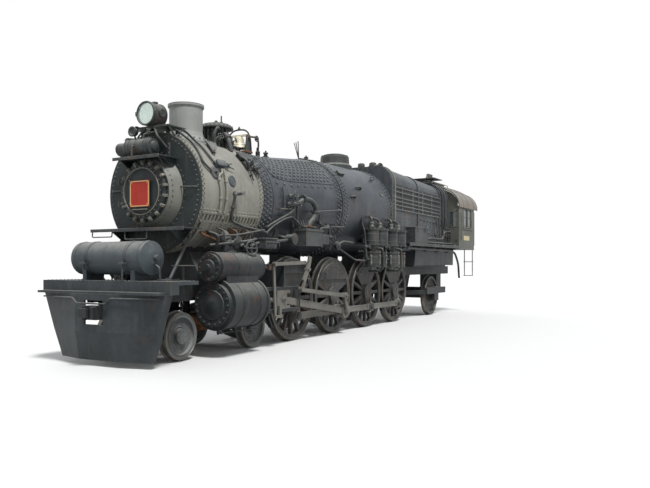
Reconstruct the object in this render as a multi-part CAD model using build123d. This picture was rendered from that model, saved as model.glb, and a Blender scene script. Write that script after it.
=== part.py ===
from build123d import *
from math import acos, asin, atan2, cos, degrees, hypot, pi, radians, sin, sqrt
import os

os.makedirs("parts", exist_ok=True)

# Every station s runs rearward from the smokebox front, every height h is above the rail
RAIL = 28
MIDDLE = 6825
GAP = 0.4
RUN = 0.6

# Wheels and the rail gauge
TREAD_R = 914.5
FLANGE = 28
WHEEL_IN = 680
WHEEL_OUT = 820
HUB_OUT = 870
JOURNAL_R = 140
DRIVER_STEP = 1913
DRIVER_1 = 3478
DRIVERS = [DRIVER_1 + DRIVER_STEP * i for i in range(4)]
MAIN = DRIVERS[1]
CRANK = 381
LEAD_TREAD_R = 419
LEAD_AXLES = [-222, 1962]
LEAD_PIVOT = sum(LEAD_AXLES) / 2
LEAD_JOURNAL_R = 90
TRAIL_TREAD_R = 635
TRAIL_AXLE = 12367
TRAIL_PIVOT = TRAIL_AXLE - 2400
TRAIL_JOURNAL_R = 100

# Boiler, in rings of (station, radius); the bottom line stays level
BOILER_H = 2980
SMOKE_R = 1095
SMOKE_TOP = BOILER_H + SMOKE_R
MID_R = 1202
REAR_R = 1230
SMOKE_END = 1900
CONE_START = 3100
COURSE_JOIN = 5200
BARREL_END = 8100
BARREL_BOTTOM = BOILER_H - SMOKE_R
SMOKE_WALL = 25

# Firebox with its square shoulders
FIRE_END = 13850
FIRE_TOP = 4430
FIRE_HALF = 1195
FIRE_TOP_REAR = 4275
FIRE_HALF_REAR = 1105
SHOULDER_R = 450
THROAT_END = 10150
MUD_H = 1640
MUD_HALF = 1085
THROAT_H = 2080

# Frame slabs
FRAME_IN = 470
FRAME_OUT = 600
FRAME_FRONT = -1040
FRAME_TOP = 1340
FRAME_LOW = 1010
PEDESTAL_LOW = 560
CRADLE_START = 10060
CRADLE_END = 14750
CRADLE_LOW = 1330
CRADLE_TOP = 1600

# Cylinders and valve chests
CYL_Y = 1120
CYL_H = 945
CYL_R = 450
VALVE_H = 1620
VALVE_R = 275
CYL_START = 330
CYL_END = 1430
HEAD_START = 245
HEAD_END = 1515

# Planes across the running gear
SIDE_ROD = (880, 980)
MAIN_ROD = (1065, 1175)
CROSSHEAD = (1045, 1195)
LEVER_PLANE = (1215, 1243)
ECC_CRANK = (1185, 1240)
ECC_ROD = (1248, 1288)
LINK_PLANE = (1294, 1334)
PIN_R = 66
MAIN_PIN_R = 88
MAIN_ROD_LENGTH = 2900
GUIDE_START = 1560
GUIDE_END = 3180
GUIDE_HALF = 190
LINK_S = 3290
LINK_H = 1560
LINK_FOOT = 480
ECC_R = 200

# Cab
CAB_FRONT = 13200
CAB_REAR = 14950
CAB_HALF = 1520
CAB_LOW = 2230
CAB_EAVE = 3680
CAB_CROWN = 4560
CAB_WALL = 30
FLOOR_H = CAB_LOW - 40
ROOF_REAR = 15250

# Front end
PILOT_FACE = -1450
DECK_TOP = 1400
DECK_FRONT = -1240
DECK_REAR = -560
TANK_S = -930
TANK_H = 1780
TANK_R = 285
KNUCKLE_H = 880
DRAWBAR_H = 850

NODES = {}


def export(name, *shapes):
    """Move the shapes of one node to the shared frame and write them."""
    solids = []
    for shape in shapes:
        solids += list(shape.solids())
    NODES[name] = len(solids)
    placed = Pos(-MIDDLE, 0, RAIL) * Compound(children=solids)
    export_step(placed, "parts/" + name + ".step")


def slab(s0, s1, y0, y1, h0, h1):
    """A block between stations, sides and heights."""
    centre = Pos((s0 + s1) / 2, (y0 + y1) / 2, (h0 + h1) / 2)
    return centre * Box(abs(s1 - s0), abs(y1 - y0), abs(h1 - h0))


def bar_x(s0, s1, y, h, r):
    """A round bar along the engine."""
    return Pos((s0 + s1) / 2, y, h) * Rot(0, 90, 0) * Cylinder(r, abs(s1 - s0))


def bar_y(s, y0, y1, h, r):
    """A round bar across the engine."""
    return Pos(s, (y0 + y1) / 2, h) * Rot(90, 0, 0) * Cylinder(r, abs(y1 - y0))


def bar_z(s, y, h0, h1, r):
    """An upright round bar."""
    return Pos(s, y, (h0 + h1) / 2) * Cylinder(r, abs(h1 - h0))


def side_plate(points, y0, y1):
    """An outline of (station, height) points, thick from y0 to y1."""
    face = Plane.XZ * make_face(Polyline(*points, close=True))
    return Pos(0, max(y0, y1), 0) * extrude(face, abs(y1 - y0))


def cross_plate(points, s0, s1):
    """An outline of (side, height) points, thick from s0 to s1."""
    face = Plane.YZ * make_face(Polyline(*points, close=True))
    return Pos(min(s0, s1), 0, 0) * extrude(face, abs(s1 - s0))


def turned_x(points, y, h):
    """A turned shape about a line along the engine, from (station, radius) points."""
    face = Plane.XZ * make_face(Polyline(*points, close=True))
    return Pos(0, y, h) * revolve(face, Axis.X)


def turned_z(points, s, y):
    """A turned shape about an upright line, from (radius, height) points."""
    face = Plane.XZ * make_face(Polyline(*points, close=True))
    return Pos(s, y, 0) * revolve(face, Axis.Z)


def pipe(points, r, bend=60):
    """A round pipe through (station, side, height) points with rounded corners."""
    path = FilletPolyline(*points, radius=bend) if len(points) > 2 else Line(*points)
    return sweep(Plane(origin=path @ 0, z_dir=path % 0) * Circle(r), path=path)


def mirror_y(shape):
    """The same shape on the other side of the engine."""
    return mirror(shape, about=Plane.XZ)


def rod(p0, p1, y0, y1, r0, r1, half, waist=0, bores=()):
    """A rod in a side plane: two round eyes joined by a straight blade."""
    length = hypot(p1[0] - p0[0], p1[1] - p0[1])
    angle = degrees(atan2(p1[1] - p0[1], p1[0] - p0[0]))
    low, high = min(y0, y1), max(y0, y1)
    blade = Pos(length / 2, (low + high) / 2, 0) * Box(length, high - low - 2 * waist, 2 * half)
    shape = blade + bar_y(0, low, high, 0, r0) + bar_y(length, low, high, 0, r1)
    for place, r in zip((0, length), bores):
        if r:
            shape -= bar_y(place, low - 1, high + 1, 0, r)
    return Pos(p0[0], 0, p0[1]) * Rot(0, -angle, 0) * shape


def boiler_radius(s):
    """Outer radius of the boiler at a station."""
    rings = [(0, SMOKE_R), (CONE_START, SMOKE_R), (COURSE_JOIN, MID_R), (BARREL_END, REAR_R)]
    for (s0, r0), (s1, r1) in zip(rings, rings[1:]):
        if s <= s1:
            return r0 + (r1 - r0) * (s - s0) / (s1 - s0)
    return REAR_R


def boiler_centre(s):
    """Height of the boiler's centre at a station."""
    return BARREL_BOTTOM + boiler_radius(s)


def boiler_ring(s0, s1, extra=0.0):
    """A length of boiler between two stations, larger by a seat gap."""
    rings = []
    for s in (s0, s1):
        disc = Plane.YZ.offset(s) * Pos(0, boiler_centre(s)) * Circle(boiler_radius(s) + extra)
        rings.append(disc)
    return loft(rings, ruled=True)


# Driving wheel: centre with spoke openings, rim, tyre with its flange, hub and crank boss
SPOKES = 16
TYRE_R = 845
RIM_R = 790
HUB_R = 215
CENTRE_IN = 715
CENTRE_OUT = 795


def spoke_openings(count, inner, outer, half_gap, depth0, depth1, shut):
    """Sector openings between spokes, left out where the counterweight sits."""
    step = 360 / count
    cutters = []
    for i in range(count):
        middle = (i + 0.5) * step
        if any(abs((middle - a + 180) % 360 - 180) < reach for a, reach in shut):
            continue
        a = radians(step / 2)
        near = a - asin(half_gap * 1.35 / inner)
        far = a - asin(half_gap / outer)
        p = [(inner * cos(near), -inner * sin(near)), (outer * cos(far), -outer * sin(far))]
        q = [(x, -y) for x, y in p]
        edge = Line(p[0], p[1])
        arc = ThreePointArc(p[1], (outer, 0), q[1])
        back = Line(q[1], q[0])
        tip = ThreePointArc(q[0], (inner, 0), p[0])
        face = Plane.XZ * Rot(0, 0, middle) * make_face([edge, arc, back, tip])
        cutters.append(Pos(0, depth1, 0) * extrude(face, depth1 - depth0))
    return cutters


def driver_wheel(crank_angle, main):
    """One driving wheel on the +Y side about the origin, its crank at the angle from +X up."""
    tread = [(JOURNAL_R - 20, CENTRE_IN), (RIM_R, CENTRE_IN), (RIM_R, WHEEL_IN + 6), (TYRE_R, WHEEL_IN)]
    tread += [(TREAD_R + FLANGE - 6, WHEEL_IN), (TREAD_R + FLANGE, WHEEL_IN + 12)]
    tread += [(TREAD_R + FLANGE - 4, WHEEL_IN + 26), (TREAD_R, WHEEL_IN + 40), (TREAD_R - 5, WHEEL_OUT)]
    tread += [(RIM_R, WHEEL_OUT - 8), (RIM_R, CENTRE_OUT), (JOURNAL_R - 20, CENTRE_OUT)]
    face = Plane.XY * make_face(Polyline(*[(r, y) for r, y in tread], close=True))
    wheel = revolve(face, Axis.Y)
    away = crank_angle + 180
    shut = [(away, 62 if main else 46)]
    wheel -= spoke_openings(SPOKES, HUB_R + 25, RIM_R, 34, CENTRE_IN - 5, CENTRE_OUT + 5, shut)
    pin_s, pin_h = CRANK * cos(radians(crank_angle)), CRANK * sin(radians(crank_angle))
    hub = bar_y(0, CENTRE_IN - 25, HUB_OUT, 0, HUB_R)
    boss = bar_y(pin_s, CENTRE_IN - 5, HUB_OUT, pin_h, 165)
    neck = Rot(0, -crank_angle, 0) * Pos(CRANK / 2, (CENTRE_IN + HUB_OUT) / 2, 0)
    neck = neck * Box(CRANK, HUB_OUT - CENTRE_IN, 300)
    half = radians(60 if main else 44)
    reach = RIM_R - 2
    a, b = (reach * cos(half), -reach * sin(half)), (reach * cos(half), reach * sin(half))
    chord = Line(b, a)
    crescent = make_face([ThreePointArc(a, (reach, 0), b), chord])
    weight = extrude(Plane.XZ * Rot(0, 0, away) * crescent, WHEEL_OUT + 25 - CENTRE_IN)
    wheel = wheel + hub + boss + neck + Pos(0, WHEEL_OUT + 25, 0) * weight
    pin_r = MAIN_PIN_R if main else PIN_R
    pin_end = MAIN_ROD[0] - 12 if main else SIDE_ROD[1] + 5
    wheel += bar_y(pin_s, HUB_OUT - 5, pin_end, pin_h, pin_r)
    if not main:
        wheel += bar_y(pin_s, SIDE_ROD[1] + 5, SIDE_ROD[1] + 30, pin_h, PIN_R + 24)
    return wheel


def driver_set(s, main):
    """Axle and both wheels; the left crank points down and the right one rearward."""
    right = driver_wheel(0, main)
    left = mirror_y(driver_wheel(-90, main))
    axle = bar_y(0, -CENTRE_OUT, CENTRE_OUT, 0, JOURNAL_R)
    return Pos(s, 0, TREAD_R) * (axle + right + left)


for number, station in enumerate(DRIVERS, 1):
    export(f"driving_wheelset_{number}", driver_set(station, station == MAIN))


def plain_wheelset(s, tread_r, journal_r, web0, web1, hub_r, reach):
    """A dished solid wheelset; its axle ends reach past the wheels for outside bearings."""
    rim = tread_r - 75
    points = [(journal_r - 10, web0), (rim - 30, web0 + 8), (rim, WHEEL_IN)]
    points += [(tread_r + FLANGE - 6, WHEEL_IN), (tread_r + FLANGE, WHEEL_IN + 12)]
    points += [(tread_r + FLANGE - 4, WHEEL_IN + 26), (tread_r, WHEEL_IN + 40), (tread_r - 5, WHEEL_OUT)]
    points += [(rim, WHEEL_OUT), (rim - 30, web1 + 8), (hub_r, web1), (hub_r, HUB_OUT - 30)]
    points += [(journal_r - 10, HUB_OUT - 30)]
    face = Plane.XY * make_face(Polyline(*points, close=True))
    wheel = revolve(face, Axis.Y) + bar_y(0, web0 - 20, HUB_OUT - 30, 0, hub_r)
    axle = bar_y(0, -reach, reach, 0, journal_r)
    return Pos(s, 0, tread_r) * (axle + wheel + mirror_y(wheel))


for name, station in zip(("front", "rear"), LEAD_AXLES):
    wheels = plain_wheelset(station, LEAD_TREAD_R, LEAD_JOURNAL_R, 725, 765, 135, HUB_OUT - 30)
    export(f"leading_wheelset_{name}", wheels)
TRAIL_BOX = (890, 1010)
wheels = plain_wheelset(TRAIL_AXLE, TRAIL_TREAD_R, TRAIL_JOURNAL_R, 725, 765, 190, TRAIL_BOX[1] - 30)
export("trailing_wheelset", wheels)

# Side rods: one blade with four eyes, fluted between them
SIDE_EYE_R = 128
MAIN_EYE_R = 165


def side_rod(pin_s, pin_h):
    """A side rod on the +Y side whose eyes stand at an offset from the axles."""
    y0, y1 = SIDE_ROD
    first, last = DRIVERS[0] + pin_s, DRIVERS[-1] + pin_s
    shape = slab(first, last, y0 + 16, y1 - 16, pin_h - 72, pin_h + 72)
    for s0, s1 in zip(DRIVERS, DRIVERS[1:]):
        for face, depth in ((y0 + 16, 14), (y1 - 30, 14)):
            shape -= slab(s0 + pin_s + 230, s1 + pin_s - 230, face, face + depth, pin_h - 44, pin_h + 44)
    for s in DRIVERS:
        eye = MAIN_EYE_R if s == MAIN else SIDE_EYE_R
        shape += bar_y(s + pin_s, y0, y1, pin_h, eye)
    for s in DRIVERS:
        bore = (MAIN_PIN_R if s == MAIN else PIN_R) + 1
        shape -= bar_y(s + pin_s, y0 - 1, y1 + 1, pin_h, bore)
    return shape


export("side_rod_right", side_rod(CRANK, TREAD_R))
export("side_rod_left", mirror_y(side_rod(0, TREAD_R - CRANK)))

# Piston stroke positions of each side, and where the crank pins stand
SIDES = (
    dict(name="left", sign=-1, pin=(MAIN, TREAD_R - CRANK), ecc=(MAIN - ECC_R, TREAD_R)),
    dict(name="right", sign=1, pin=(MAIN + CRANK, TREAD_R), ecc=(MAIN, TREAD_R - ECC_R)),
)
for side in SIDES:
    rise = CYL_H - side["pin"][1]
    side["wrist"] = (side["pin"][0] - sqrt(MAIN_ROD_LENGTH**2 - rise**2), CYL_H)

# Main rods: small end between the crosshead cheeks, big end round the outer crank pin
rods = []
for side in SIDES:
    y0, y1 = MAIN_ROD
    bar = rod(side["wrist"], side["pin"], y0, y1, 92, 178, 74, 18, (56, 86))
    rods.append(bar if side["sign"] > 0 else mirror_y(bar))
export("main_rods", *rods)

# Crossheads with wrist pin and piston rod
heads = []
for side in SIDES:
    s = side["wrist"][0]
    y0, y1 = CROSSHEAD
    shoes = slab(s - 250, s + 250, y0, y1, CYL_H + 130, CYL_H + GUIDE_HALF - GAP)
    shoes += slab(s - 250, s + 250, y0, y1, CYL_H - GUIDE_HALF + GAP, CYL_H - 130)
    front = slab(s - 250, s - 130, y0, y1, CYL_H - 131, CYL_H + 131)
    cheeks = slab(s - 131, s + 120, y0, y0 + 15, CYL_H - 131, CYL_H + 131)
    cheeks += slab(s - 131, s + 120, y1 - 15, y1, CYL_H - 131, CYL_H + 131)
    pin = bar_y(s, y0, y1 + 8, CYL_H, 55)
    piston = bar_x(HEAD_END + 5, s - 240, CYL_Y, CYL_H, 59 - RUN)
    head = shoes + front + cheeks + pin + piston
    heads.append(head if side["sign"] > 0 else mirror_y(head))
export("crossheads", *heads)

# Guide bars with their end blocks, and the yoke that carries them from the frame
YOKE = (2455, 2497)
guides = []
for sign in (-1, 1):
    y0, y1 = CROSSHEAD
    bars = slab(GUIDE_START, GUIDE_END, y0, y1, CYL_H + GUIDE_HALF, CYL_H + GUIDE_HALF + 70)
    bars += slab(GUIDE_START, GUIDE_END, y0, y1, CYL_H - GUIDE_HALF - 70, CYL_H - GUIDE_HALF)
    for y in (y0, y1 - 14):
        bars += slab(GUIDE_END - 40, GUIDE_END, y, y + 14, CYL_H - GUIDE_HALF, CYL_H + GUIDE_HALF)
    bars += slab(GUIDE_START - 44, GUIDE_START + 30, y0, y1, CYL_H + GUIDE_HALF, CYL_H + GUIDE_HALF + 70)
    bars += slab(GUIDE_START - 44, GUIDE_START + 30, y0, y1, CYL_H - GUIDE_HALF - 70, CYL_H - GUIDE_HALF)
    top = CYL_H + GUIDE_HALF + 69
    web = [(FRAME_OUT + GAP, FRAME_LOW + 20), (FRAME_OUT + GAP, FRAME_TOP + 260)]
    web += [(1212, FRAME_TOP + 430), (1240, FRAME_TOP + 430), (1240, top + 100), (1212, top)]
    web += [(900, top), (760, FRAME_LOW + 20)]
    yoke = cross_plate(web, *YOKE)
    arms = slab(YOKE[1] - 10, LINK_S + 130, 1206, 1240, LINK_H - 60, LINK_H + 140)
    shape = bars + yoke + arms
    guides.append(shape if sign > 0 else mirror_y(shape))
export("guides_and_yoke", *guides)

# Walschaerts valve gear: return crank, eccentric rod, link, radius rod, combination lever
LEVER_S = 2090


def link_foot(ecc, length):
    """Foot of the expansion link for an eccentric pin, where two circles meet."""
    dx, dh = ecc[0] - LINK_S, ecc[1] - LINK_H
    reach = hypot(dx, dh)
    turn = acos((LINK_FOOT**2 + reach**2 - length**2) / (2 * LINK_FOOT * reach))
    angle = atan2(dh, dx) - turn
    return (LINK_S + LINK_FOOT * cos(angle), LINK_H + LINK_FOOT * sin(angle))


ECC_LENGTH = hypot(MAIN - LINK_S, TREAD_R - ECC_R - (LINK_H - LINK_FOOT))
for side in SIDES:
    pieces = []
    pin, ecc, wrist = side["pin"], side["ecc"], side["wrist"]
    foot = link_foot(ecc, ECC_LENGTH)
    y0, y1 = MAIN_ROD
    crank = rod(pin, ecc, ECC_CRANK[0], ECC_CRANK[1], 96, 70, 52)
    crank += bar_y(pin[0], y0 + 2, ECC_CRANK[0] + 1, pin[1], 84)
    crank += bar_y(ecc[0], ECC_CRANK[1] - 1, ECC_ROD[1] + 4, ecc[1], 40)
    pieces.append(crank)
    pieces.append(rod(foot, ecc, ECC_ROD[0], ECC_ROD[1], 62, 82, 42, 8, (30.4, 41)))
    tilt = degrees(atan2(foot[0] - LINK_S, LINK_H - foot[1]))
    arc_r = LINK_S - LEVER_S
    arcs = []
    for r in (arc_r - 55, arc_r + 55):
        turn = asin(300 / arc_r)
        ends = [(LINK_S - arc_r + r * cos(a), LINK_H + r * sin(a)) for a in (-turn, 0, turn)]
        arcs.append(ends)
    outer = ThreePointArc(*arcs[1])
    inner = ThreePointArc(*arcs[0])
    outline = [outer, Line(arcs[1][2], arcs[0][2]), inner, Line(arcs[0][0], arcs[1][0])]
    face = Plane.XZ * make_face(outline)
    link = Pos(0, LINK_PLANE[1], 0) * extrude(face, LINK_PLANE[1] - LINK_PLANE[0])
    link += rod((LINK_S, LINK_H), (LINK_S, LINK_H - LINK_FOOT), *LINK_PLANE, 70, 48, 40)
    link += bar_y(LINK_S, 1240 + GAP, LINK_PLANE[1] + 34, LINK_H, 38)
    link += bar_y(LINK_S, ECC_ROD[0] + 4, LINK_PLANE[0] + 1, LINK_H - LINK_FOOT, 30)
    link = Pos(LINK_S, 0, LINK_H) * Rot(0, -tilt, 0) * Pos(-LINK_S, 0, -LINK_H) * link
    pieces.append(link)
    top = (LEVER_S, VALVE_H + 60)
    low = (LEVER_S + 60, CYL_H - 330)
    lever = rod(low, top, *LEVER_PLANE, 40, 46, 34)
    pieces.append(lever)
    start = (LINK_S - 40, LINK_H + 150)
    pieces.append(rod(top, start, LEVER_PLANE[1] + GAP, LINK_PLANE[0] - GAP, 48, 40, 36))
    arm_end = (wrist[0] - 190, CYL_H - 330)
    union = rod((low[0], low[1]), arm_end, LEVER_PLANE[1] + GAP, LEVER_PLANE[1] + 30, 38, 38, 28)
    pieces.append(union)
    drop = slab(wrist[0] - 230, wrist[0] - 150, CROSSHEAD[1] + GAP, LEVER_PLANE[1], CYL_H - 370, CYL_H - 120)
    pieces.append(drop)
    stem = bar_x(1600 + GAP, LEVER_S - 95, CYL_Y, VALVE_H, 34)
    stem += slab(LEVER_S - 100, LEVER_S + 80, 1070, 1195, VALVE_H - 60, VALVE_H + 60)
    stem += bar_y(LEVER_S, 1190, LEVER_PLANE[0] - GAP, VALVE_H, 34)
    pieces.append(stem)
    if side["sign"] < 0:
        pieces = [mirror_y(p) for p in pieces]
    export("valve_gear_" + side["name"], *pieces)

# Frame: two cast slabs with pedestals, joined by cross ties
slabs = []
for sign in (-1, 1):
    outline = [(FRAME_FRONT, FRAME_LOW), (2700, FRAME_LOW)]
    for s in DRIVERS:
        outline += [(s - 420, FRAME_LOW), (s - 330, PEDESTAL_LOW), (s - 205, PEDESTAL_LOW)]
        outline += [(s - 205, TREAD_R + 240), (s + 205, TREAD_R + 240)]
        outline += [(s + 205, PEDESTAL_LOW), (s + 330, PEDESTAL_LOW), (s + 420, FRAME_LOW)]
    outline += [(CRADLE_START - 200, FRAME_LOW), (CRADLE_START + 100, CRADLE_LOW)]
    outline += [(CRADLE_END, CRADLE_LOW), (CRADLE_END, CRADLE_TOP), (CRADLE_START + 100, CRADLE_TOP)]
    outline += [(CRADLE_START - 200, FRAME_TOP), (FRAME_FRONT, FRAME_TOP)]
    side_slab = side_plate(outline, sign * FRAME_IN, sign * FRAME_OUT)
    for s in DRIVERS:
        binder = slab(s - 330, s + 330, sign * FRAME_IN, sign * FRAME_OUT, PEDESTAL_LOW - 60, PEDESTAL_LOW + 20)
        side_slab += binder
    slabs.append(side_slab)
bed = slabs[0] + slabs[1]
TIES = [(-1040, -960), (-560, -480), (2420, 2540), (4400, 4480), (6310, 6390), (8230, 8310)]
for s0, s1 in TIES:
    bed += slab(s0, s1, -FRAME_IN - 10, FRAME_IN + 10, FRAME_LOW + 20, FRAME_TOP - 20)
bed += slab(CRADLE_START - 300, CRADLE_START - 40, -FRAME_IN - 10, FRAME_IN + 10, FRAME_LOW + 20, FRAME_TOP)
for s0, s1 in ((11700, 11780), (13100, 13180), (14300, CRADLE_END)):
    bed += slab(s0, s1, -FRAME_IN - 10, FRAME_IN + 10, CRADLE_LOW + 10, CRADLE_TOP - 10)
bed += slab(14300, CRADLE_END, -320, 320, DRAWBAR_H - 170, CRADLE_LOW + 20)
bed -= slab(14420, CRADLE_END + 1, -170, 170, DRAWBAR_H - 60, DRAWBAR_H + 60)
bed -= bar_z(14560, 0, DRAWBAR_H - 180, DRAWBAR_H + 260, 44 + RUN)
bed += bar_z(LEAD_PIVOT, 0, 640, FRAME_LOW + 60, 70)
bed += slab(LEAD_PIVOT - 200, LEAD_PIVOT + 200, -FRAME_IN - 10, FRAME_IN + 10, FRAME_LOW, FRAME_LOW + 130)
bed += bar_z(TRAIL_PIVOT, 0, 690, FRAME_LOW + 60, 60)
# Bearers that stand on the frame ties and carry the boiler
BEARER_HALF = 440
BEARER_T = 16
BEARER_TOP = BARREL_BOTTOM + 125
for s, top in ((4440, BEARER_TOP), (6350, BEARER_TOP), (8270, THROAT_H - GAP)):
    bearer = slab(s - BEARER_T / 2, s + BEARER_T / 2, -BEARER_HALF, BEARER_HALF, FRAME_TOP - 60, top)
    if s < BARREL_END:
        bearer -= boiler_ring(CONE_START, COURSE_JOIN, GAP) + boiler_ring(COURSE_JOIN, BARREL_END, GAP)
    bed += bearer
export("main_frame", bed)

# Driving boxes in the pedestals
boxes = []
for s in DRIVERS:
    for sign in (-1, 1):
        y0, y1 = sign * (FRAME_IN - 20), sign * (FRAME_OUT + 20)
        box = slab(s - 205 + RUN, s + 205 - RUN, y0, y1, TREAD_R - 230, TREAD_R + 190)
        boxes.append(box - bar_y(s, y0 * 0.9, y1 * 1.1, TREAD_R, JOURNAL_R + RUN))
export("driving_boxes", *boxes)

# Springs over the driving boxes: leaf stacks on saddles
springs = []
for s in DRIVERS:
    for sign in (-1, 1):
        y0, y1 = sign * (FRAME_IN + 15), sign * (FRAME_OUT - 15)
        leaves = [(s - 480, 1460), (s - 480, 1480), (s - 140, 1545), (s + 140, 1545)]
        leaves += [(s + 480, 1480), (s + 480, 1460), (s + 70, 1432), (s + 70, FRAME_TOP + GAP)]
        leaves += [(s - 70, FRAME_TOP + GAP), (s - 70, 1432)]
        springs.append(side_plate(leaves, y0, y1))
export("driver_springs", *springs)

# Brake shoes low between the drivers, each pair on its beam
brake_rig = []
for s in DRIVERS:
    rig = slab(s - 945, s - 895, -812, 812, 505, 560)
    for y in (-530, 530):
        rig += slab(s - 940, s - 900, y - 25, y + 25, 559, FRAME_LOW - GAP)
    for sign in (-1, 1):
        y0, y1 = sign * 725, sign * 810
        r = TREAD_R + FLANGE + 12
        ring = bar_y(s, y0, y1, TREAD_R, r + 55) - bar_y(s, y0 * 0.9, y1 * 1.1, TREAD_R, r)
        rig += ring & slab(s - 1100, s - 700, y0 * 0.95, y1 * 1.05, 330, 600)
    brake_rig.append(rig)
export("brake_gear", *brake_rig)

# Cylinders, valve chests and the saddle under the smokebox
saddle = [(-FRAME_OUT - 70, FRAME_LOW + 40), (FRAME_OUT + 70, FRAME_LOW + 40)]
saddle += [(FRAME_OUT + 150, 1500), (520, 1900), (560, 2120)]
saddle += [(-560, 2120), (-520, 1900), (-FRAME_OUT - 150, 1500)]
casting = cross_plate(saddle, CYL_START, CYL_END)
for sign in (-1, 1):
    y = sign * CYL_Y
    cylinder = bar_x(CYL_START, CYL_END, y, CYL_H, CYL_R) + bar_x(HEAD_START, HEAD_END, y, CYL_H, 395)
    for s0 in (CYL_START, CYL_END - 60):
        cylinder += bar_x(s0, s0 + 60, y, CYL_H, CYL_R + 20)
    chest = bar_x(150, 1590, y, VALVE_H, VALVE_R - 30) + bar_x(210, 1530, y, VALVE_H, VALVE_R)
    web = slab(CYL_START + 60, CYL_END - 60, y - 225, y + 225, CYL_H + 200, VALVE_H)
    inner = slab(CYL_START, CYL_END, sign * (FRAME_OUT + 40), y, 1080, 1560)
    casting += cylinder + chest + web + inner + bar_x(1580, 1600, y, VALVE_H, 80)
    casting += bar_x(HEAD_END - 10, HEAD_END + 45, y, CYL_H, 110)
    casting -= bar_x(HEAD_END - 20, HEAD_END + 60, y, CYL_H, 59)
casting -= slab(CYL_START - 1, CYL_END + 1, -FRAME_OUT - GAP, FRAME_OUT + GAP, FRAME_LOW - 1, FRAME_TOP + GAP)
casting -= boiler_ring(0, SMOKE_END, GAP)
export("cylinder_casting", casting)

# Leading truck: frame inside the wheels with boxes over the journals
truck = slab(LEAD_AXLES[0] - 150, LEAD_AXLES[1] + 150, 500, 610, 560, 700)
truck += mirror_y(truck)
for s in LEAD_AXLES:
    for sign in (-1, 1):
        truck += slab(s - 150, s + 150, sign * 500, sign * 610, LEAD_TREAD_R - 130, 701)
truck += slab(LEAD_PIVOT - 190, LEAD_PIVOT + 190, -505, 505, 430, 700)
truck += bar_z(LEAD_PIVOT, 0, 400, 740, 210)
for s in (LEAD_AXLES[0] + 300, LEAD_AXLES[1] - 300):
    truck += slab(s - 40, s + 40, -505, 505, 580, 690)
truck -= bar_z(LEAD_PIVOT, 0, 600, 800, 70 + RUN)
for s in LEAD_AXLES:
    truck -= bar_y(s, -700, 700, LEAD_TREAD_R, LEAD_JOURNAL_R + RUN)
export("leading_truck", truck)

# Trailing truck: outside frame with arms running to its pivot
side_frame = slab(TRAIL_AXLE - 900, TRAIL_AXLE + 900, *TRAIL_BOX, 700, 900)
side_frame += slab(TRAIL_AXLE - 190, TRAIL_AXLE + 190, *TRAIL_BOX, TRAIL_TREAD_R - 170, 930)
side_frame += slab(TRAIL_AXLE + 720, TRAIL_AXLE + 800, -5, TRAIL_BOX[0] + 5, 720, 880)
outline = [(TRAIL_PIVOT - 130, 0), (TRAIL_PIVOT - 130, 110), (TRAIL_PIVOT + 130, 130)]
outline += [(TRAIL_AXLE - 860, 960), (TRAIL_AXLE - 700, 960), (TRAIL_AXLE - 700, 860)]
outline += [(TRAIL_PIVOT + 330, 0)]
face = Plane.XY.offset(700) * make_face(Polyline(*outline, close=True))
truck = side_frame + extrude(face, 130)
truck += mirror_y(truck)
truck -= bar_z(TRAIL_PIVOT, 0, 600, 900, 60 + RUN)
for sign in (-1, 1):
    y0, y1 = sign * 800, sign * (TRAIL_BOX[1] - 25)
    truck -= bar_y(TRAIL_AXLE, y0, y1, TRAIL_TREAD_R, TRAIL_JOURNAL_R + RUN)
export("trailing_truck", truck)

# Pilot: smooth cast plough, hollow behind, with the coupler pocket in its face
PILOT_TOP = 1185
PILOT_LOW = 75
PILOT_WALL = 40


def plough_ring(h, nose, wing, half, nose_half, rear):
    """One level outline of the plough: flat nose, raked wings, a short return."""
    points = [(rear, -half), (wing, -half), (nose, -nose_half)]
    points += [(s, -y) for s, y in reversed(points)]
    return Plane.XY.offset(h) * make_face(Polyline(*points, close=True))


PLOUGH = [(PILOT_LOW, -1330, -1190, 1040, 470), (560, PILOT_FACE, -1230, 1210, 430)]
PLOUGH += [(PILOT_TOP, PILOT_FACE, -1270, 1400, 430)]
pilot = None
for lower, upper in zip(PLOUGH, PLOUGH[1:]):
    part = loft([plough_ring(*lower, -1100), plough_ring(*upper, -1100)], ruled=True)
    pilot = part if pilot is None else pilot + part
for lower, upper in zip(PLOUGH, PLOUGH[1:]):
    inside = []
    for h, nose, wing, half, nose_half in (lower, upper):
        level = h - 1 if h == PILOT_LOW else h - PILOT_WALL if h == PILOT_TOP else h
        inside.append(plough_ring(level, nose + 40, wing + 40, half - 40, nose_half - 12, -1090))
    pilot -= loft(inside, ruled=True)
pilot -= slab(-1500, -1380, -215, 215, KNUCKLE_H - 200, KNUCKLE_H + 200)
export("pilot", pilot)

# Front deck: buffer beam with the deck plate on it
deck = slab(DECK_FRONT, FRAME_FRONT - GAP, -1480, 1480, PILOT_TOP + GAP, DECK_TOP)
deck += slab(FRAME_FRONT - 1, DECK_REAR, -1480, 1480, FRAME_TOP + GAP, DECK_TOP)
deck += slab(DECK_FRONT - 190, DECK_FRONT + 1, -1390, 1390, PILOT_TOP + GAP, PILOT_TOP + 40)
export("front_deck", deck)

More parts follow.
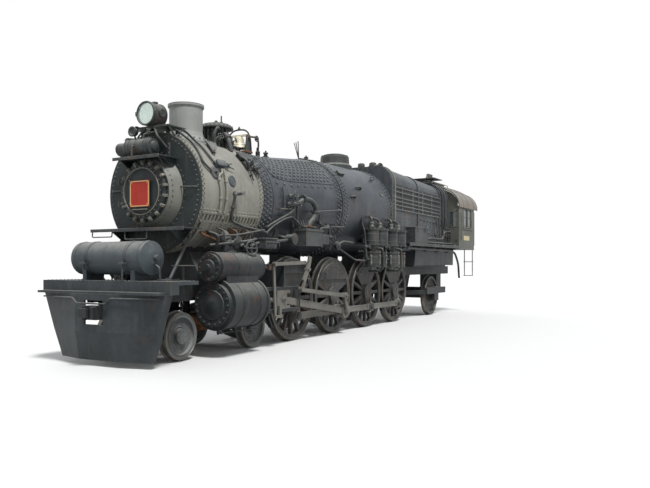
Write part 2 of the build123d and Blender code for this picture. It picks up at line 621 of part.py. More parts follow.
# Coupler body with its shank into the frame, and the hinged knuckle
KNUCKLE_PIN = (-1560, 85)
EAR = 80
EAR_T = 36
body = slab(-1400, FRAME_FRONT - 80, -75, 75, KNUCKLE_H - EAR, KNUCKLE_H + EAR)
body += slab(-1530, -1380, -150, 130, KNUCKLE_H - EAR - EAR_T, KNUCKLE_H + EAR + EAR_T)
body += slab(-1600, -1520, -155, -85, KNUCKLE_H - EAR - 20, KNUCKLE_H + EAR + 20)
for h in (KNUCKLE_H - EAR - EAR_T, KNUCKLE_H + EAR):
    body += slab(KNUCKLE_PIN[0], -1520, 40, 130, h, h + EAR_T) + bar_z(*KNUCKLE_PIN, h, h + EAR_T, 45)
block_top = PILOT_TOP - PILOT_WALL - 5
body += slab(FRAME_FRONT - 120, FRAME_FRONT - GAP, -200, 200, KNUCKLE_H - 110, block_top)
body -= bar_z(*KNUCKLE_PIN, KNUCKLE_H - 120, KNUCKLE_H + 120, 19)
export("coupler", body)
nose = EAR - 4
knuckle = slab(-1650, -1599, -40, 125, KNUCKLE_H - nose, KNUCKLE_H + nose)
knuckle += slab(-1600, -1560, 56, 118, KNUCKLE_H - nose, KNUCKLE_H + nose)
knuckle += bar_z(*KNUCKLE_PIN, KNUCKLE_H - nose, KNUCKLE_H + nose, 25)
knuckle += bar_z(*KNUCKLE_PIN, KNUCKLE_H - EAR - EAR_T - 8, KNUCKLE_H + EAR + EAR_T + 8, 18)
export("coupler_knuckle", knuckle)

# Air tank across the deck on two cradles
TANK_HALF = 880
TANK_SIDE = TANK_HALF - 80
points = [(-TANK_HALF, 0), (-TANK_HALF + 20, 110), (-TANK_SIDE, TANK_R), (TANK_SIDE, TANK_R)]
points += [(TANK_HALF - 20, 110), (TANK_HALF, 0)]
tank = turned_x(points, 0, 0)
tank = Pos(TANK_S, 0, TANK_H) * Rot(0, 0, 90) * tank
for y in (-560, 560):
    tank += slab(TANK_S - 200, TANK_S + 200, y - 45, y + 45, DECK_TOP + GAP, TANK_H - 150)
export("air_tank", tank)

# Smokebox shell with its end bands; the stack's opening is cut through
STACK_S = 860
BAND = 14
shell = boiler_ring(0, SMOKE_END) + bar_x(0, 70, 0, BOILER_H, SMOKE_R + BAND)
shell += bar_x(SMOKE_END - 110, SMOKE_END, 0, BOILER_H, SMOKE_R + BAND)
shell -= bar_x(-1, SMOKE_END - 30, 0, BOILER_H, SMOKE_R - SMOKE_WALL)
shell -= bar_z(STACK_S, 0, BOILER_H + 800, BOILER_H + SMOKE_R + 100, 250)
export("smokebox", shell)

# Smokebox front: flat ring and the raised drum that carries the door
DOOR_R = 520
DRUM_FACE = -265
points = [(-30, SMOKE_R + 12), (-30, 690), (DRUM_FACE, 570), (DRUM_FACE, DOOR_R - 30)]
points += [(DRUM_FACE + 30, DOOR_R - 30), (-GAP, 650), (-GAP, SMOKE_R + 12)]
export("smokebox_front", turned_x(points, 0, BOILER_H))
points = [(0, 0), (0, 706 + GAP), (-30, 690 + GAP), (DRUM_FACE, 570 + GAP), (DRUM_FACE, 0)]
drum_room = turned_x(points, 0, BOILER_H)
face_s = DRUM_FACE - RUN
points = [(face_s, 0), (face_s, DOOR_R), (face_s - 22, DOOR_R), (face_s - 40, DOOR_R - 20)]
points += [(face_s - 75, 240), (face_s - 85, 0)]
door = turned_x(points, 0, BOILER_H)
DOOR_HINGE = (face_s - 34, DOOR_R + 62)
for h in (-200, 200):
    door += slab(face_s - 48, face_s - 18, 150, DOOR_HINGE[1], BOILER_H + h - 30, BOILER_H + h + 30)
    door += bar_z(*DOOR_HINGE, BOILER_H + h - 45, BOILER_H + h + 45, 26)
export("smokebox_door", door)
PLATE_S = -395
PLATE_HALF = 230
plate = slab(PLATE_S, PLATE_S + 12, -PLATE_HALF, PLATE_HALF, BOILER_H - 280, BOILER_H + 190)
plate += slab(PLATE_S + 11, face_s - 85 - GAP, -60, 60, BOILER_H - 60, BOILER_H + 60)
export("front_plate", plate)

# Shelves across the smokebox front: the lower step and the generator's shelf above
STEP_H = 2290
STEP_HALF = 1120
UPPER_H = 3570
FRONT_S = -30 - GAP
shelf = slab(-500, FRONT_S, -STEP_HALF, STEP_HALF, STEP_H, STEP_H + 22)
for y in (-690, 690):
    shelf += side_plate([(FRONT_S, STEP_H - 240), (FRONT_S, STEP_H + 1), (-430, STEP_H + 1)], y - 8, y + 8)
shelf -= drum_room
upper = slab(-500, FRONT_S, -560, 560, UPPER_H, UPPER_H + 20)
for y in (-500, 500):
    upper += side_plate([(FRONT_S, UPPER_H - 200), (FRONT_S, UPPER_H + 1), (-420, UPPER_H + 1)], y - 8, y + 8)
export("front_shelves", shelf, upper - drum_room)

# Turbo generator: drum across the shelf on two feet
GEN_R = 160
GEN_H = UPPER_H + GEN_R + 45
GEN_Y = (-190, 370)
generator = bar_y(-270, *GEN_Y, GEN_H, GEN_R) + bar_y(-270, GEN_Y[1], GEN_Y[1] + 210, GEN_H, GEN_R - 40)
generator += bar_y(-270, GEN_Y[0] - 55, GEN_Y[0], GEN_H, 70)
for y in (GEN_Y[0] + 100, GEN_Y[1] - 60):
    generator += slab(-360, -180, y - 40, y + 40, UPPER_H + 20 + GAP, UPPER_H + 100)
generator -= drum_room
export("generator", generator)

# Headlight on its bracket above the smokebox
LIGHT_RISE = 325
LIGHT_H = SMOKE_TOP + LIGHT_RISE
LIGHT_R = 210
PLATFORM_HALF = 470
points = [(-220, 0), (-220, LIGHT_R - 20), (-240, LIGHT_R - 20), (-240, LIGHT_R)]
points += [(100, LIGHT_R), (165, 120), (175, 0)]
light = turned_x(points, 0, LIGHT_H)
SEAT_H = LIGHT_H - 245
light += slab(-150, 300, -PLATFORM_HALF, PLATFORM_HALF, SEAT_H, SEAT_H + 20)
light += slab(-60, 60, -120, 120, SEAT_H + 19, LIGHT_H - 180)
for y in (-PLATFORM_HALF + 50, -190, 190, PLATFORM_HALF - 50):
    light += slab(90, 180, y - 10, y + 10, 3900, SEAT_H + 1)
light -= boiler_ring(0, 300, GAP)
export("headlight", light)
export("headlight_lens", bar_x(-232, -220 - GAP, 0, LIGHT_H, LIGHT_R - 21))

# Stack with its flared base and rolled lip
STACK_RISE = 685
STACK_TOP = SMOKE_TOP + STACK_RISE
points = [(250, SMOKE_TOP - 65), (250, SMOKE_TOP - 105), (415, SMOKE_TOP - 135), (415, SMOKE_TOP - 30)]
points += [(345, SMOKE_TOP + 60), (322, SMOKE_TOP + 150), (322, STACK_TOP - 54), (348, STACK_TOP - 46)]
points += [(348, STACK_TOP), (250, STACK_TOP)]
export("stack", turned_z(points, STACK_S, 0) - boiler_ring(0, SMOKE_END, GAP))

# Feed-water drum with its lid, behind the stack
DRUM_S = 1800
DRUM_RISE = 520
DRUM_TOP = SMOKE_TOP + DRUM_RISE
LID_R = 350
points = [(0, SMOKE_TOP - 175), (255, SMOKE_TOP - 175), (255, DRUM_TOP - 150), (LID_R, DRUM_TOP - 145)]
points += [(LID_R, DRUM_TOP - 110), (LID_R - 70, DRUM_TOP - 45), (LID_R - 230, DRUM_TOP - 5), (0, DRUM_TOP)]
drum = turned_z(points, DRUM_S, 0) - boiler_ring(0, 3000, GAP)
drum -= bar_x(SMOKE_END - 111, SMOKE_END + 1, 0, BOILER_H, SMOKE_R + BAND + GAP)
export("feedwater_drum", drum)

# Bell in its stand
BELL_S = 2600
BELL_RISE = 345
BELL_FOOT = SMOKE_TOP + 15
BELL_H = SMOKE_TOP + BELL_RISE
stand = slab(BELL_S - 110, BELL_S + 110, -250, 250, BELL_FOOT - 100, BELL_FOOT + 10)
for y in (-230, 230):
    points = [(BELL_S - 100, BELL_FOOT), (BELL_S + 100, BELL_FOOT)]
    points += [(BELL_S + 35, BELL_H + 45), (BELL_S - 35, BELL_H + 45)]
    stand += side_plate(points, y - 18, y + 18)
    stand -= bar_y(BELL_S, y - 20, y + 20, BELL_H, 17)
export("bell_stand", stand - boiler_ring(1950, CONE_START, GAP))
points = [(0, BELL_H + 20), (60, BELL_H + 20), (95, BELL_H - 20), (120, BELL_H - 130), (165, BELL_H - 205)]
points += [(185, BELL_H - 240), (165, BELL_H - 240), (140, BELL_H - 205), (95, BELL_H - 130)]
points += [(70, BELL_H - 30), (0, BELL_H - 20)]
bell = turned_z(points, BELL_S, 0)
bell += slab(BELL_S - 25, BELL_S + 25, -205, 205, BELL_H + 15, BELL_H + 55)
for y in (-195, 195):
    bell += slab(BELL_S - 20, BELL_S + 20, y - 10, y + 10, BELL_H - 20, BELL_H + 50)
    bell += bar_y(BELL_S, y, y * 1.26, BELL_H, 16)
export("bell", bell)

# Boiler courses: a straight ring and a cone, then the larger rear ring
front_course = boiler_ring(SMOKE_END + GAP, CONE_START) + boiler_ring(CONE_START, COURSE_JOIN)
export("boiler_barrel", front_course, boiler_ring(COURSE_JOIN + GAP, BARREL_END))


# Firebox: square shouldered, shallow over the drivers and deep over the trailing truck
def fire_top(s):
    """Height of the firebox crown, which falls toward the cab."""
    return FIRE_TOP + (FIRE_TOP_REAR - FIRE_TOP) * (s - BARREL_END) / (FIRE_END - BARREL_END)


def wrapper_face(s, low_h, low_half, extra=0.0):
    """A firebox section at a station with its low edge at a height and half width."""
    half = FIRE_HALF + (FIRE_HALF_REAR - FIRE_HALF) * (s - BARREL_END) / (FIRE_END - BARREL_END) + extra
    top = fire_top(s) + extra
    r = SHOULDER_R
    k = r * (1 - sqrt(0.5))
    edges = [Line((-low_half - extra, low_h), (-half, 2500)), Line((-half, 2500), (-half, top - r))]
    edges += [ThreePointArc((-half, top - r), (-half + k, top - k), (-half + r, top))]
    edges += [Line((-half + r, top), (half - r, top))]
    edges += [ThreePointArc((half - r, top), (half - k, top - k), (half, top - r))]
    edges += [Line((half, top - r), (half, 2500)), Line((half, 2500), (low_half + extra, low_h))]
    edges += [Line((low_half + extra, low_h), (-low_half - extra, low_h))]
    return Plane.YZ.offset(s) * make_face(edges)


THROAT = (THROAT_H, 1010)
firebox = loft([wrapper_face(BARREL_END + GAP, *THROAT), wrapper_face(THROAT_END + 1, *THROAT)], ruled=True)
MUD_RING = (MUD_H, MUD_HALF)
firebox += loft([wrapper_face(THROAT_END, *MUD_RING), wrapper_face(FIRE_END, *MUD_RING)], ruled=True)
export("firebox", firebox)
wrapper_ends = [wrapper_face(s, MUD_H, MUD_HALF, GAP) for s in (BARREL_END - 10, FIRE_END + GAP)]
wrapper_block = loft(wrapper_ends, ruled=True)

# Ash pan: shallow tray under the mud ring with a hopper between the frames
tray = [(-MUD_HALF + 40, MUD_H - GAP), (-MUD_HALF + 40, CRADLE_TOP + GAP)]
tray += [(-y, h) for y, h in reversed(tray)]
ash = cross_plate(tray, THROAT_END + 30, CAB_FRONT - 60)
hopper = [(-430, CRADLE_TOP + 5), (430, CRADLE_TOP + 5), (300, 940), (-300, 940)]
ash += cross_plate(hopper, THROAT_END + 150, 11560)
export("ash_pan", ash)

# Steam dome and the small fittings along the boiler top
DOME_S = 7000
DOME_RISE = 341
DOME_FOOT = boiler_centre(DOME_S) + boiler_radius(DOME_S)
DOME_TOP = DOME_FOOT + DOME_RISE
points = [(0, DOME_FOOT - 124), (470, DOME_FOOT - 124), (470, DOME_FOOT + 21), (400, DOME_FOOT + 76)]
points += [(390, DOME_TOP - 90), (330, DOME_TOP - 60)]
points += [(330, DOME_TOP - 30), (250, DOME_TOP), (0, DOME_TOP)]
export("steam_dome", turned_z(points, DOME_S, 0) - boiler_ring(COURSE_JOIN, BARREL_END, GAP))
POPS = ((9060, -190), (9060, 190), (9420, 0))
fittings = []
for s, y in POPS:
    top = fire_top(s)
    points = [(0, top - 40), (125, top - 40), (125, top + 40), (80, top + 50)]
    points += [(80, top + 110), (105, top + 120)]
    points += [(105, top + 280), (60, top + 310), (0, top + 310)]
    fittings.append(turned_z(points, s, y) - wrapper_block)
export("boiler_fittings", *fittings)

# Turret hood ahead of the cab: a flat plate on a low box, with one upright fin
HOOD = (12380, CAB_FRONT - 90)
HOOD_RISE = 245
HOOD_H = fire_top(HOOD[0]) + HOOD_RISE
HOOD_LOW = 4000
FIN_TOP = HOOD_H + 190
hood = slab(HOOD[0] - 60, HOOD[1], -950, 950, HOOD_H, HOOD_H + 24)
for y in (-560, 560):
    hood += slab(HOOD[0], HOOD[1] - 40, y - 10, y + 10, HOOD_LOW, HOOD_H + 1)
for s in (HOOD[0], HOOD[1] - 60):
    hood += slab(s, s + 20, -565, 565, HOOD_LOW, HOOD_H + 1)
FIN = [(12720, HOOD_H + 20), (12960, HOOD_H + 20), (12960, FIN_TOP), (12900, FIN_TOP)]
hood += side_plate(FIN, -640, -600)
export("turret_hood", hood - wrapper_block)

# Air pumps: two cross-compound pumps on the left, steam ends over air ends
PUMP_Y = -1330
pumps = []
for s in (6800, 8050):
    pump = None
    for ds, r_top, r_low in ((-250, 175, 215), (250, 215, 175)):
        column = bar_z(s + ds, PUMP_Y, 2170, 2590, r_top) + bar_z(s + ds, PUMP_Y, 1600, 1990, r_low)
        column += bar_z(s + ds, PUMP_Y, 1980, 2180, 95) + bar_z(s + ds, PUMP_Y, 2585, 2640, r_top - 60)
        for h, r in ((2165, r_top), (2560, r_top), (1600, r_low), (1960, r_low)):
            column += bar_z(s + ds, PUMP_Y, h, h + 34, r + 24)
        pump = column if pump is None else pump + column
    pump += slab(s - 250, s + 250, PUMP_Y - 60, PUMP_Y + 60, 2010, 2150)
    pump += slab(s - 230, s + 230, PUMP_Y + 150, PUMP_Y + 190, 1640, 2560)
    for h in (2200, 2420):
        pump += slab(s - 200, s + 200, PUMP_Y + 180, PUMP_Y + 560, h, h + 40)
    pumps.append(pump - boiler_ring(COURSE_JOIN, BARREL_END, GAP) - wrapper_block)
export("air_pumps", *pumps)

# Running boards on brackets along the barrel and firebox
BOARD_H = 2270
BOARD_T = 30
BOARD_OUT = 1520
BOARD_IN = 1130
CHEST_S = (9250, 10300)
CHEST_TOP = 2760
for side in SIDES:
    sign = side["sign"]
    start = 8720 if sign < 0 else 6150
    board = slab(start, CAB_FRONT - GAP, sign * BOARD_IN, sign * BOARD_OUT, BOARD_H, BOARD_H + BOARD_T)
    board += slab(start, CAB_FRONT - GAP, sign * (BOARD_OUT - 20), sign * BOARD_OUT, BOARD_H - 60, BOARD_H)
    arm = [(sign * 840, 2020), (sign * 840, BOARD_H + 1), (sign * 1501, BOARD_H + 1)]
    arm += [(sign * 1501, BOARD_H - 60), (sign * 1000, 2020)]
    s = start + 60
    while s < CAB_FRONT:
        board += cross_plate(arm, s - 12, s + 12)
        s += 1080
    board += slab(*CHEST_S, sign * 1180, sign * 1470, BOARD_H + BOARD_T - 1, CHEST_TOP)
    board -= boiler_ring(COURSE_JOIN, BARREL_END, GAP)
    board -= wrapper_block
    export("running_board_" + side["name"], board)

# Lubricator box on arms from the first course
box = slab(3040, 3780, -1430, -1180, 2070, 2400) + slab(3020, 3800, -1440, -1170, 2400, 2440)
for s in (3150, 3640):
    box += slab(s, s + 60, -1190, -700, 2150, 2210)
box -= boiler_ring(2000, CONE_START, GAP) + boiler_ring(CONE_START, COURSE_JOIN, GAP)
export("lubricator_box", box)

# Steam pipes from the smokebox sides down to the valve chests
STEAM_S = 870
STEAM_Y = 1010
steam = []
for sign in (-1, 1):
    path = [(STEAM_S, sign * 560, 2360), (STEAM_S, sign * 900, 2210)]
    path += [(STEAM_S, sign * STEAM_Y, 2020), (STEAM_S, sign * STEAM_Y, 1700)]
    run = pipe(path, 115, 150)
    run += bar_z(STEAM_S, sign * STEAM_Y, 1850, 1925, 165)
    run -= boiler_ring(0, SMOKE_END, GAP)
    run -= bar_x(0, 1900, sign * CYL_Y, VALVE_H, VALVE_R + GAP)
    steam.append(run)
export("steam_pipes", *steam)

# Brace rods from the smokebox to the deck, and the drawbar at the rear
braces = []
for sign in (-1, 1):
    brace = pipe([(120, sign * 790, 2290), (-640, sign * 900, DECK_TOP - 30)], 28)
    brace += bar_z(-640, sign * 900, DECK_TOP + GAP, DECK_TOP + 40, 70)
    brace -= boiler_ring(0, SMOKE_END, GAP) + bar_x(0, 70, 0, BOILER_H, SMOKE_R + BAND + GAP)
    brace -= bar_x(-40, 0, 0, BOILER_H, SMOKE_R + BAND + GAP)
    brace -= slab(-900, -300, sign * 600, sign * 1200, DECK_TOP - 200, DECK_TOP + GAP)
    braces.append(brace)
export("front_braces", *braces)
DRAW_PIN = 14560
bar = slab(14470, 15230, -90, 90, DRAWBAR_H - 50, DRAWBAR_H + 50)
bar += bar_z(15200, 0, DRAWBAR_H - 50, DRAWBAR_H + 50, 100)
bar += bar_z(DRAW_PIN, 0, DRAWBAR_H - 160, DRAWBAR_H + 200, 44)
bar -= bar_z(15200, 0, DRAWBAR_H - 60, DRAWBAR_H + 60, 46)
export("drawbar", bar)

# Cab floor with its brackets down to the frame
floor = slab(CAB_FRONT, CAB_REAR, -CAB_HALF, CAB_HALF, FLOOR_H, CAB_LOW - GAP)
floor -= wrapper_block
for sign in (-1, 1):
    floor += slab(14250, 14650, sign * 380, sign * 420, CRADLE_TOP + GAP, FLOOR_H + 1)
floor += slab(14250, 14290, -421, 421, CRADLE_TOP + GAP, FLOOR_H + 1)
for sign in (-1, 1):
    for h in (1250, 1750):
        floor += slab(14780, 14930, sign * 1180, sign * 1500, h, h + 24)
    for y in (1180, 1476):
        floor += slab(14840, 14870, sign * y, sign * (y + 24), 1250, FLOOR_H + 1)
export("cab_floor", floor)

# Cab sides with two window openings each
WINDOWS = ((13690, 14120), (14170, 14600))
WINDOW_LOW, WINDOW_TOP = CAB_EAVE - 700, CAB_EAVE - 80
for side in SIDES:
    sign = side["sign"]
    wall = slab(CAB_FRONT, CAB_REAR, sign * (CAB_HALF - CAB_WALL), sign * CAB_HALF, CAB_LOW, CAB_EAVE)
    for s0, s1 in WINDOWS:
        wall -= slab(s0, s1, sign * 1400, sign * 1600, WINDOW_LOW, WINDOW_TOP)
    for h in (CAB_LOW + 150, CAB_EAVE - 160):
        wall += bar_x(CAB_REAR - 5, CAB_REAR + 60, sign * (CAB_HALF - 15), h, 14)
    wall += bar_z(CAB_REAR + 48, sign * (CAB_HALF - 15), CAB_LOW + 120, CAB_EAVE - 130, 17)
    export("cab_" + side["name"], wall)


def roof_face(grow, half, low):
    """Arched roof line: tight corner arcs at the eaves and one flat crown arc."""
    top = CAB_CROWN - grow
    a, b, c = (half, low), (half - 90, low + 330), (half - 430, low + 590 - grow * 0.4)
    eave_r = ThreePointArc(a, b, c)
    crown = ThreePointArc(c, (0, top), (-c[0], c[1]))
    eave_l = ThreePointArc((-c[0], c[1]), (-b[0], b[1]), (-a[0], a[1]))
    return [eave_r, crown, eave_l, Line((-a[0], a[1]), a)]


ROOF_T = 36
FRONT_T = 30
ROOF_HALF = 1556
outer_face = make_face(roof_face(0, ROOF_HALF, CAB_EAVE - 40))
outer = extrude(Plane.YZ.offset(CAB_FRONT - 80) * outer_face, ROOF_REAR - CAB_FRONT + 80)
inner_face = make_face(roof_face(ROOF_T, ROOF_HALF - ROOF_T + GAP, CAB_EAVE - 41))
inner = extrude(Plane.YZ.offset(CAB_FRONT - 81) * inner_face, ROOF_REAR)
roof = outer - inner
for s0, s1 in ((13500, 14800),):
    hatch = extrude(Plane.YZ.offset(s0) * make_face(roof_face(-46, ROOF_HALF, CAB_EAVE - 40)), s1 - s0)
    roof += hatch & slab(s0, s1, -420, 420, 4400, 4700)
roof -= slab(CAB_FRONT - 100, ROOF_REAR + 1, -1490, 1490, 3000, CAB_EAVE)
export("cab_roof", roof - inner)

# Cab front wall round the firebox, and its two narrow doors
DOOR_Y = (1134, 1476)
DOOR_H = (CAB_LOW + 100, CAB_EAVE - 120)
INSIDE = CAB_HALF - CAB_WALL - GAP
wall_face = make_face(roof_face(ROOF_T + GAP, INSIDE, CAB_EAVE - 41))
wall = extrude(Plane.YZ.offset(CAB_FRONT) * wall_face, FRONT_T)
wall = wall & slab(CAB_FRONT, CAB_FRONT + FRONT_T, -1470, 1470, CAB_EAVE - 41, 4700)
wall += slab(CAB_FRONT, CAB_FRONT + FRONT_T, -INSIDE, INSIDE, CAB_LOW, CAB_EAVE)
wall -= wrapper_block
for sign in (-1, 1):
    sides = (sign * (DOOR_Y[0] - 4), sign * (DOOR_Y[1] + 4))
    wall -= slab(CAB_FRONT - 1, CAB_FRONT + 50, *sides, DOOR_H[0] - 4, DOOR_H[1] + 4)
export("cab_front", wall)
CAB_HINGE = (CAB_FRONT - 12, 1478)
for side in SIDES:
    sign = side["sign"]
    door_panel = slab(CAB_FRONT, CAB_FRONT + 24, sign * DOOR_Y[0], sign * DOOR_Y[1], *DOOR_H)
    sight = (DOOR_H[0] + 650, DOOR_H[1] - 80)
    sides = (sign * (DOOR_Y[0] + 56), sign * (DOOR_Y[1] - 56))
    door_panel -= slab(CAB_FRONT - 1, CAB_FRONT + 50, *sides, *sight)
    for h in (DOOR_H[0] + 170, DOOR_H[1] - 220):
        door_panel += slab(CAB_FRONT - 16, CAB_FRONT + 1, sign * 1400, sign * 1474, h, h + 60)
        door_panel += bar_z(CAB_HINGE[0], sign * CAB_HINGE[1], h, h + 60, 11.4)
    export("cab_door_" + side["name"], door_panel)

# Backhead controls on their plate, and the crew's seats
back = FIRE_END + GAP
panel = cross_plate([(-900, 2300), (900, 2300), (900, 3900), (-900, 3900)], back, back + 14)
panel += slab(back, back + 60, -260, 260, 2420, 2800) + slab(back + 59, back + 90, -250, -10, 2440, 2780)
panel += slab(back + 59, back + 90, 10, 250, 2440, 2780)
for y, h, r in ((-420, 3600, 105), (-150, 3680, 90), (150, 3680, 90), (420, 3600, 105)):
    panel += bar_x(back + 10, back + 80, y, h, r)
for y in (-620, 620):
    panel += bar_x(back + 10, back + 60, y, 3420, 20) + bar_x(back + 10, back + 60, y, 3080, 20)
    panel += bar_z(back + 55, y, 3040, 3460, 24)
path = [(back + 10, 0, 3350), (back + 110, 0, 3350), (back + 150, 330, 3260), (back + 170, 620, 3200)]
panel += pipe(path, 18, 30)
panel += bar_x(back + 10, back + 260, 860, 2900, 24) + bar_x(back + 240, back + 262, 860, 2900, 150)
seats = []
for sign in (-1, 1):
    seat = slab(14230, 14640, sign * 1080, sign * 1480, CAB_LOW, CAB_LOW + 450)
    seat += slab(14560, 14640, sign * 1100, sign * 1480, CAB_LOW + 449, CAB_LOW + 850)
    seats.append(seat)
export("cab_fittings", panel, *seats)
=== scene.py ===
"""Dresses the steam locomotive: paint, dust and rust, rivets, pipework, fittings and light."""

import logging
from dataclasses import dataclass, field
from enum import Enum
from functools import cache
from math import atan2, cos, hypot, pi, radians, sin, tau
from typing import Callable, Iterable, Iterator, Sequence

import bmesh
import bpy
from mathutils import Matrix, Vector


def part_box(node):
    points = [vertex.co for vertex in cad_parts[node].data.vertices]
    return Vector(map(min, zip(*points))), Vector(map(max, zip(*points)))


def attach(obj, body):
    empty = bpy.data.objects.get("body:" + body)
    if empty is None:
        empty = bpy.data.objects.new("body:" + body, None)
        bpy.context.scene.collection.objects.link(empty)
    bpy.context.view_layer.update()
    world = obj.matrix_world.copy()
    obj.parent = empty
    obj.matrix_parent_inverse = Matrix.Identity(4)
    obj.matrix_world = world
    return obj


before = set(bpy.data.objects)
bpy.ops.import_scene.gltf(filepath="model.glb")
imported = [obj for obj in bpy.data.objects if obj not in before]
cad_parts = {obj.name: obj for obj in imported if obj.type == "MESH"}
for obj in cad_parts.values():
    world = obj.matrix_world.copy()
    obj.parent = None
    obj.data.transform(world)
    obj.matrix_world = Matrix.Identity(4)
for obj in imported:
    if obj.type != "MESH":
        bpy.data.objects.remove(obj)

LOG = logging.getLogger("locomotive")
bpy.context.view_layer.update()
FRAME_SIZE = (650, 488)
FLANGE = 0.028
FRONT_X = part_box("smokebox")[0].x
FORWARD, BACK = Vector((-1, 0, 0)), Vector((1, 0, 0))
LEFT, RIGHT = Vector((0, -1, 0)), Vector((0, 1, 0))
DOWN, UP = Vector((0, 0, -1)), Vector((0, 0, 1))
OUT = (0, 1, 0)
BOTH = ((-1, "left"), (1, "right"))
DRIVERS = (3.478, 5.391, 7.304, 9.217)
DRIVER_RADIUS = 0.9145
CRANK = 0.381
SAFETY_VALVES = ((9.06, -0.19), (9.06, 0.19), (9.42, 0.0))
SHARP = radians(38)
Colour = tuple[float, float, float]
Place = tuple[float, float, float]
Pair = tuple[float, float]
Spot = Vector | Place
Socket = bpy.types.NodeSocket


def at(station: float, side: float, height: float) -> Vector:
    """A point of the frame.

    Args:
        station: metres rearward of the smokebox's front ring.
        side: metres toward the engine's right.
        height: metres above the rail's top.

    Returns:
        The point in the shared frame.
    """
    return Vector((station + FRONT_X, side, height + FLANGE))


def span(node: str) -> tuple[Place, Place]:
    """The lowest and highest (station, side, height) of a node.

    Args:
        node: the node's name.

    Returns:
        Its two corners.
    """
    return tuple((p.x - FRONT_X, p.y, p.z - FLANGE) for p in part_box(node))


def tone(*parts: int) -> Colour:
    """A colour as it looks on screen, turned to the linear values that shaders take.

    Args:
        parts: red, green and blue, 0 to 255.

    Returns:
        The three linear values.
    """
    shares = (part / 255 for part in parts)
    return tuple(s / 12.92 if s < 0.04 else ((s + 0.055) / 1.055) ** 2.4 for s in shares)


def sides_of(direction: Vector) -> tuple[Vector, Vector]:
    """Two directions square to a direction and to each other.

    Args:
        direction: any direction but a null one.

    Returns:
        Two unit vectors.
    """
    axis = direction.normalized()
    first = axis.cross(UP if abs(axis.z) < 0.9 else BACK).normalized()
    return first, axis.cross(first).normalized()


def ring(centre: Vector, u: Vector, v: Vector, radius: float, count: int) -> list[Vector]:
    """Points spaced round a centre, in the plane of two directions.

    Args:
        centre: of the ring.
        u: where the first point stands.
        v: where the ring turns to.
        radius: of the ring.
        count: how many points.

    Returns:
        The points.
    """
    angles = (tau * i / count for i in range(count))
    return [centre + (u * cos(a) + v * sin(a)) * radius for a in angles]


def rounded(points: Sequence[Vector], bend: float, steps: int = 5) -> list[Vector]:
    """A path whose corners are turned into bends.

    Args:
        points: the corners of the path.
        bend: how far each bend reaches along its runs.
        steps: points on each bend.

    Returns:
        The points of the rounded path.
    """
    path = [points[0]]
    for before, corner, after in zip(points, points[1:], points[2:]):
        back, ahead = before - corner, after - corner
        reach = min(bend, 0.48 * back.length, 0.48 * ahead.length)
        start, end = corner + back.normalized() * reach, corner + ahead.normalized() * reach
        for t in (i / steps for i in range(steps + 1)):
            path.append(start * (1 - t) ** 2 + corner * 2 * t * (1 - t) + end * t * t)
    return [*path, points[-1]]


def arc_through(a: Pair, b: Pair, c: Pair, count: int) -> list[Pair]:
    """Points along the circle through three points.

    Args:
        a: the first point.
        b: a point between.
        c: the last point.
        count: steps along the arc.

    Returns:
        The points, both ends with them.
    """
    (ax, ay), (bx, by), (cx, cy) = a, b, c
    squares = [x * x + y * y for x, y in (a, b, c)]
    d = 2 * (ax * (by - cy) + bx * (cy - ay) + cx * (ay - by))
    ux = sum(q * t for q, t in zip(squares, (by - cy, cy - ay, ay - by))) / d
    uy = sum(q * t for q, t in zip(squares, (cx - bx, ax - cx, bx - ax))) / d
    radius = hypot(ax - ux, ay - uy)
    start, middle, end = (atan2(y - uy, x - ux) for x, y in (a, b, c))
    turn = (end - start) % tau
    if (middle - start) % tau > turn:
        turn -= tau
    angles = (start + turn * i / count for i in range(count + 1))
    return [(ux + radius * cos(t), uy + radius * sin(t)) for t in angles]


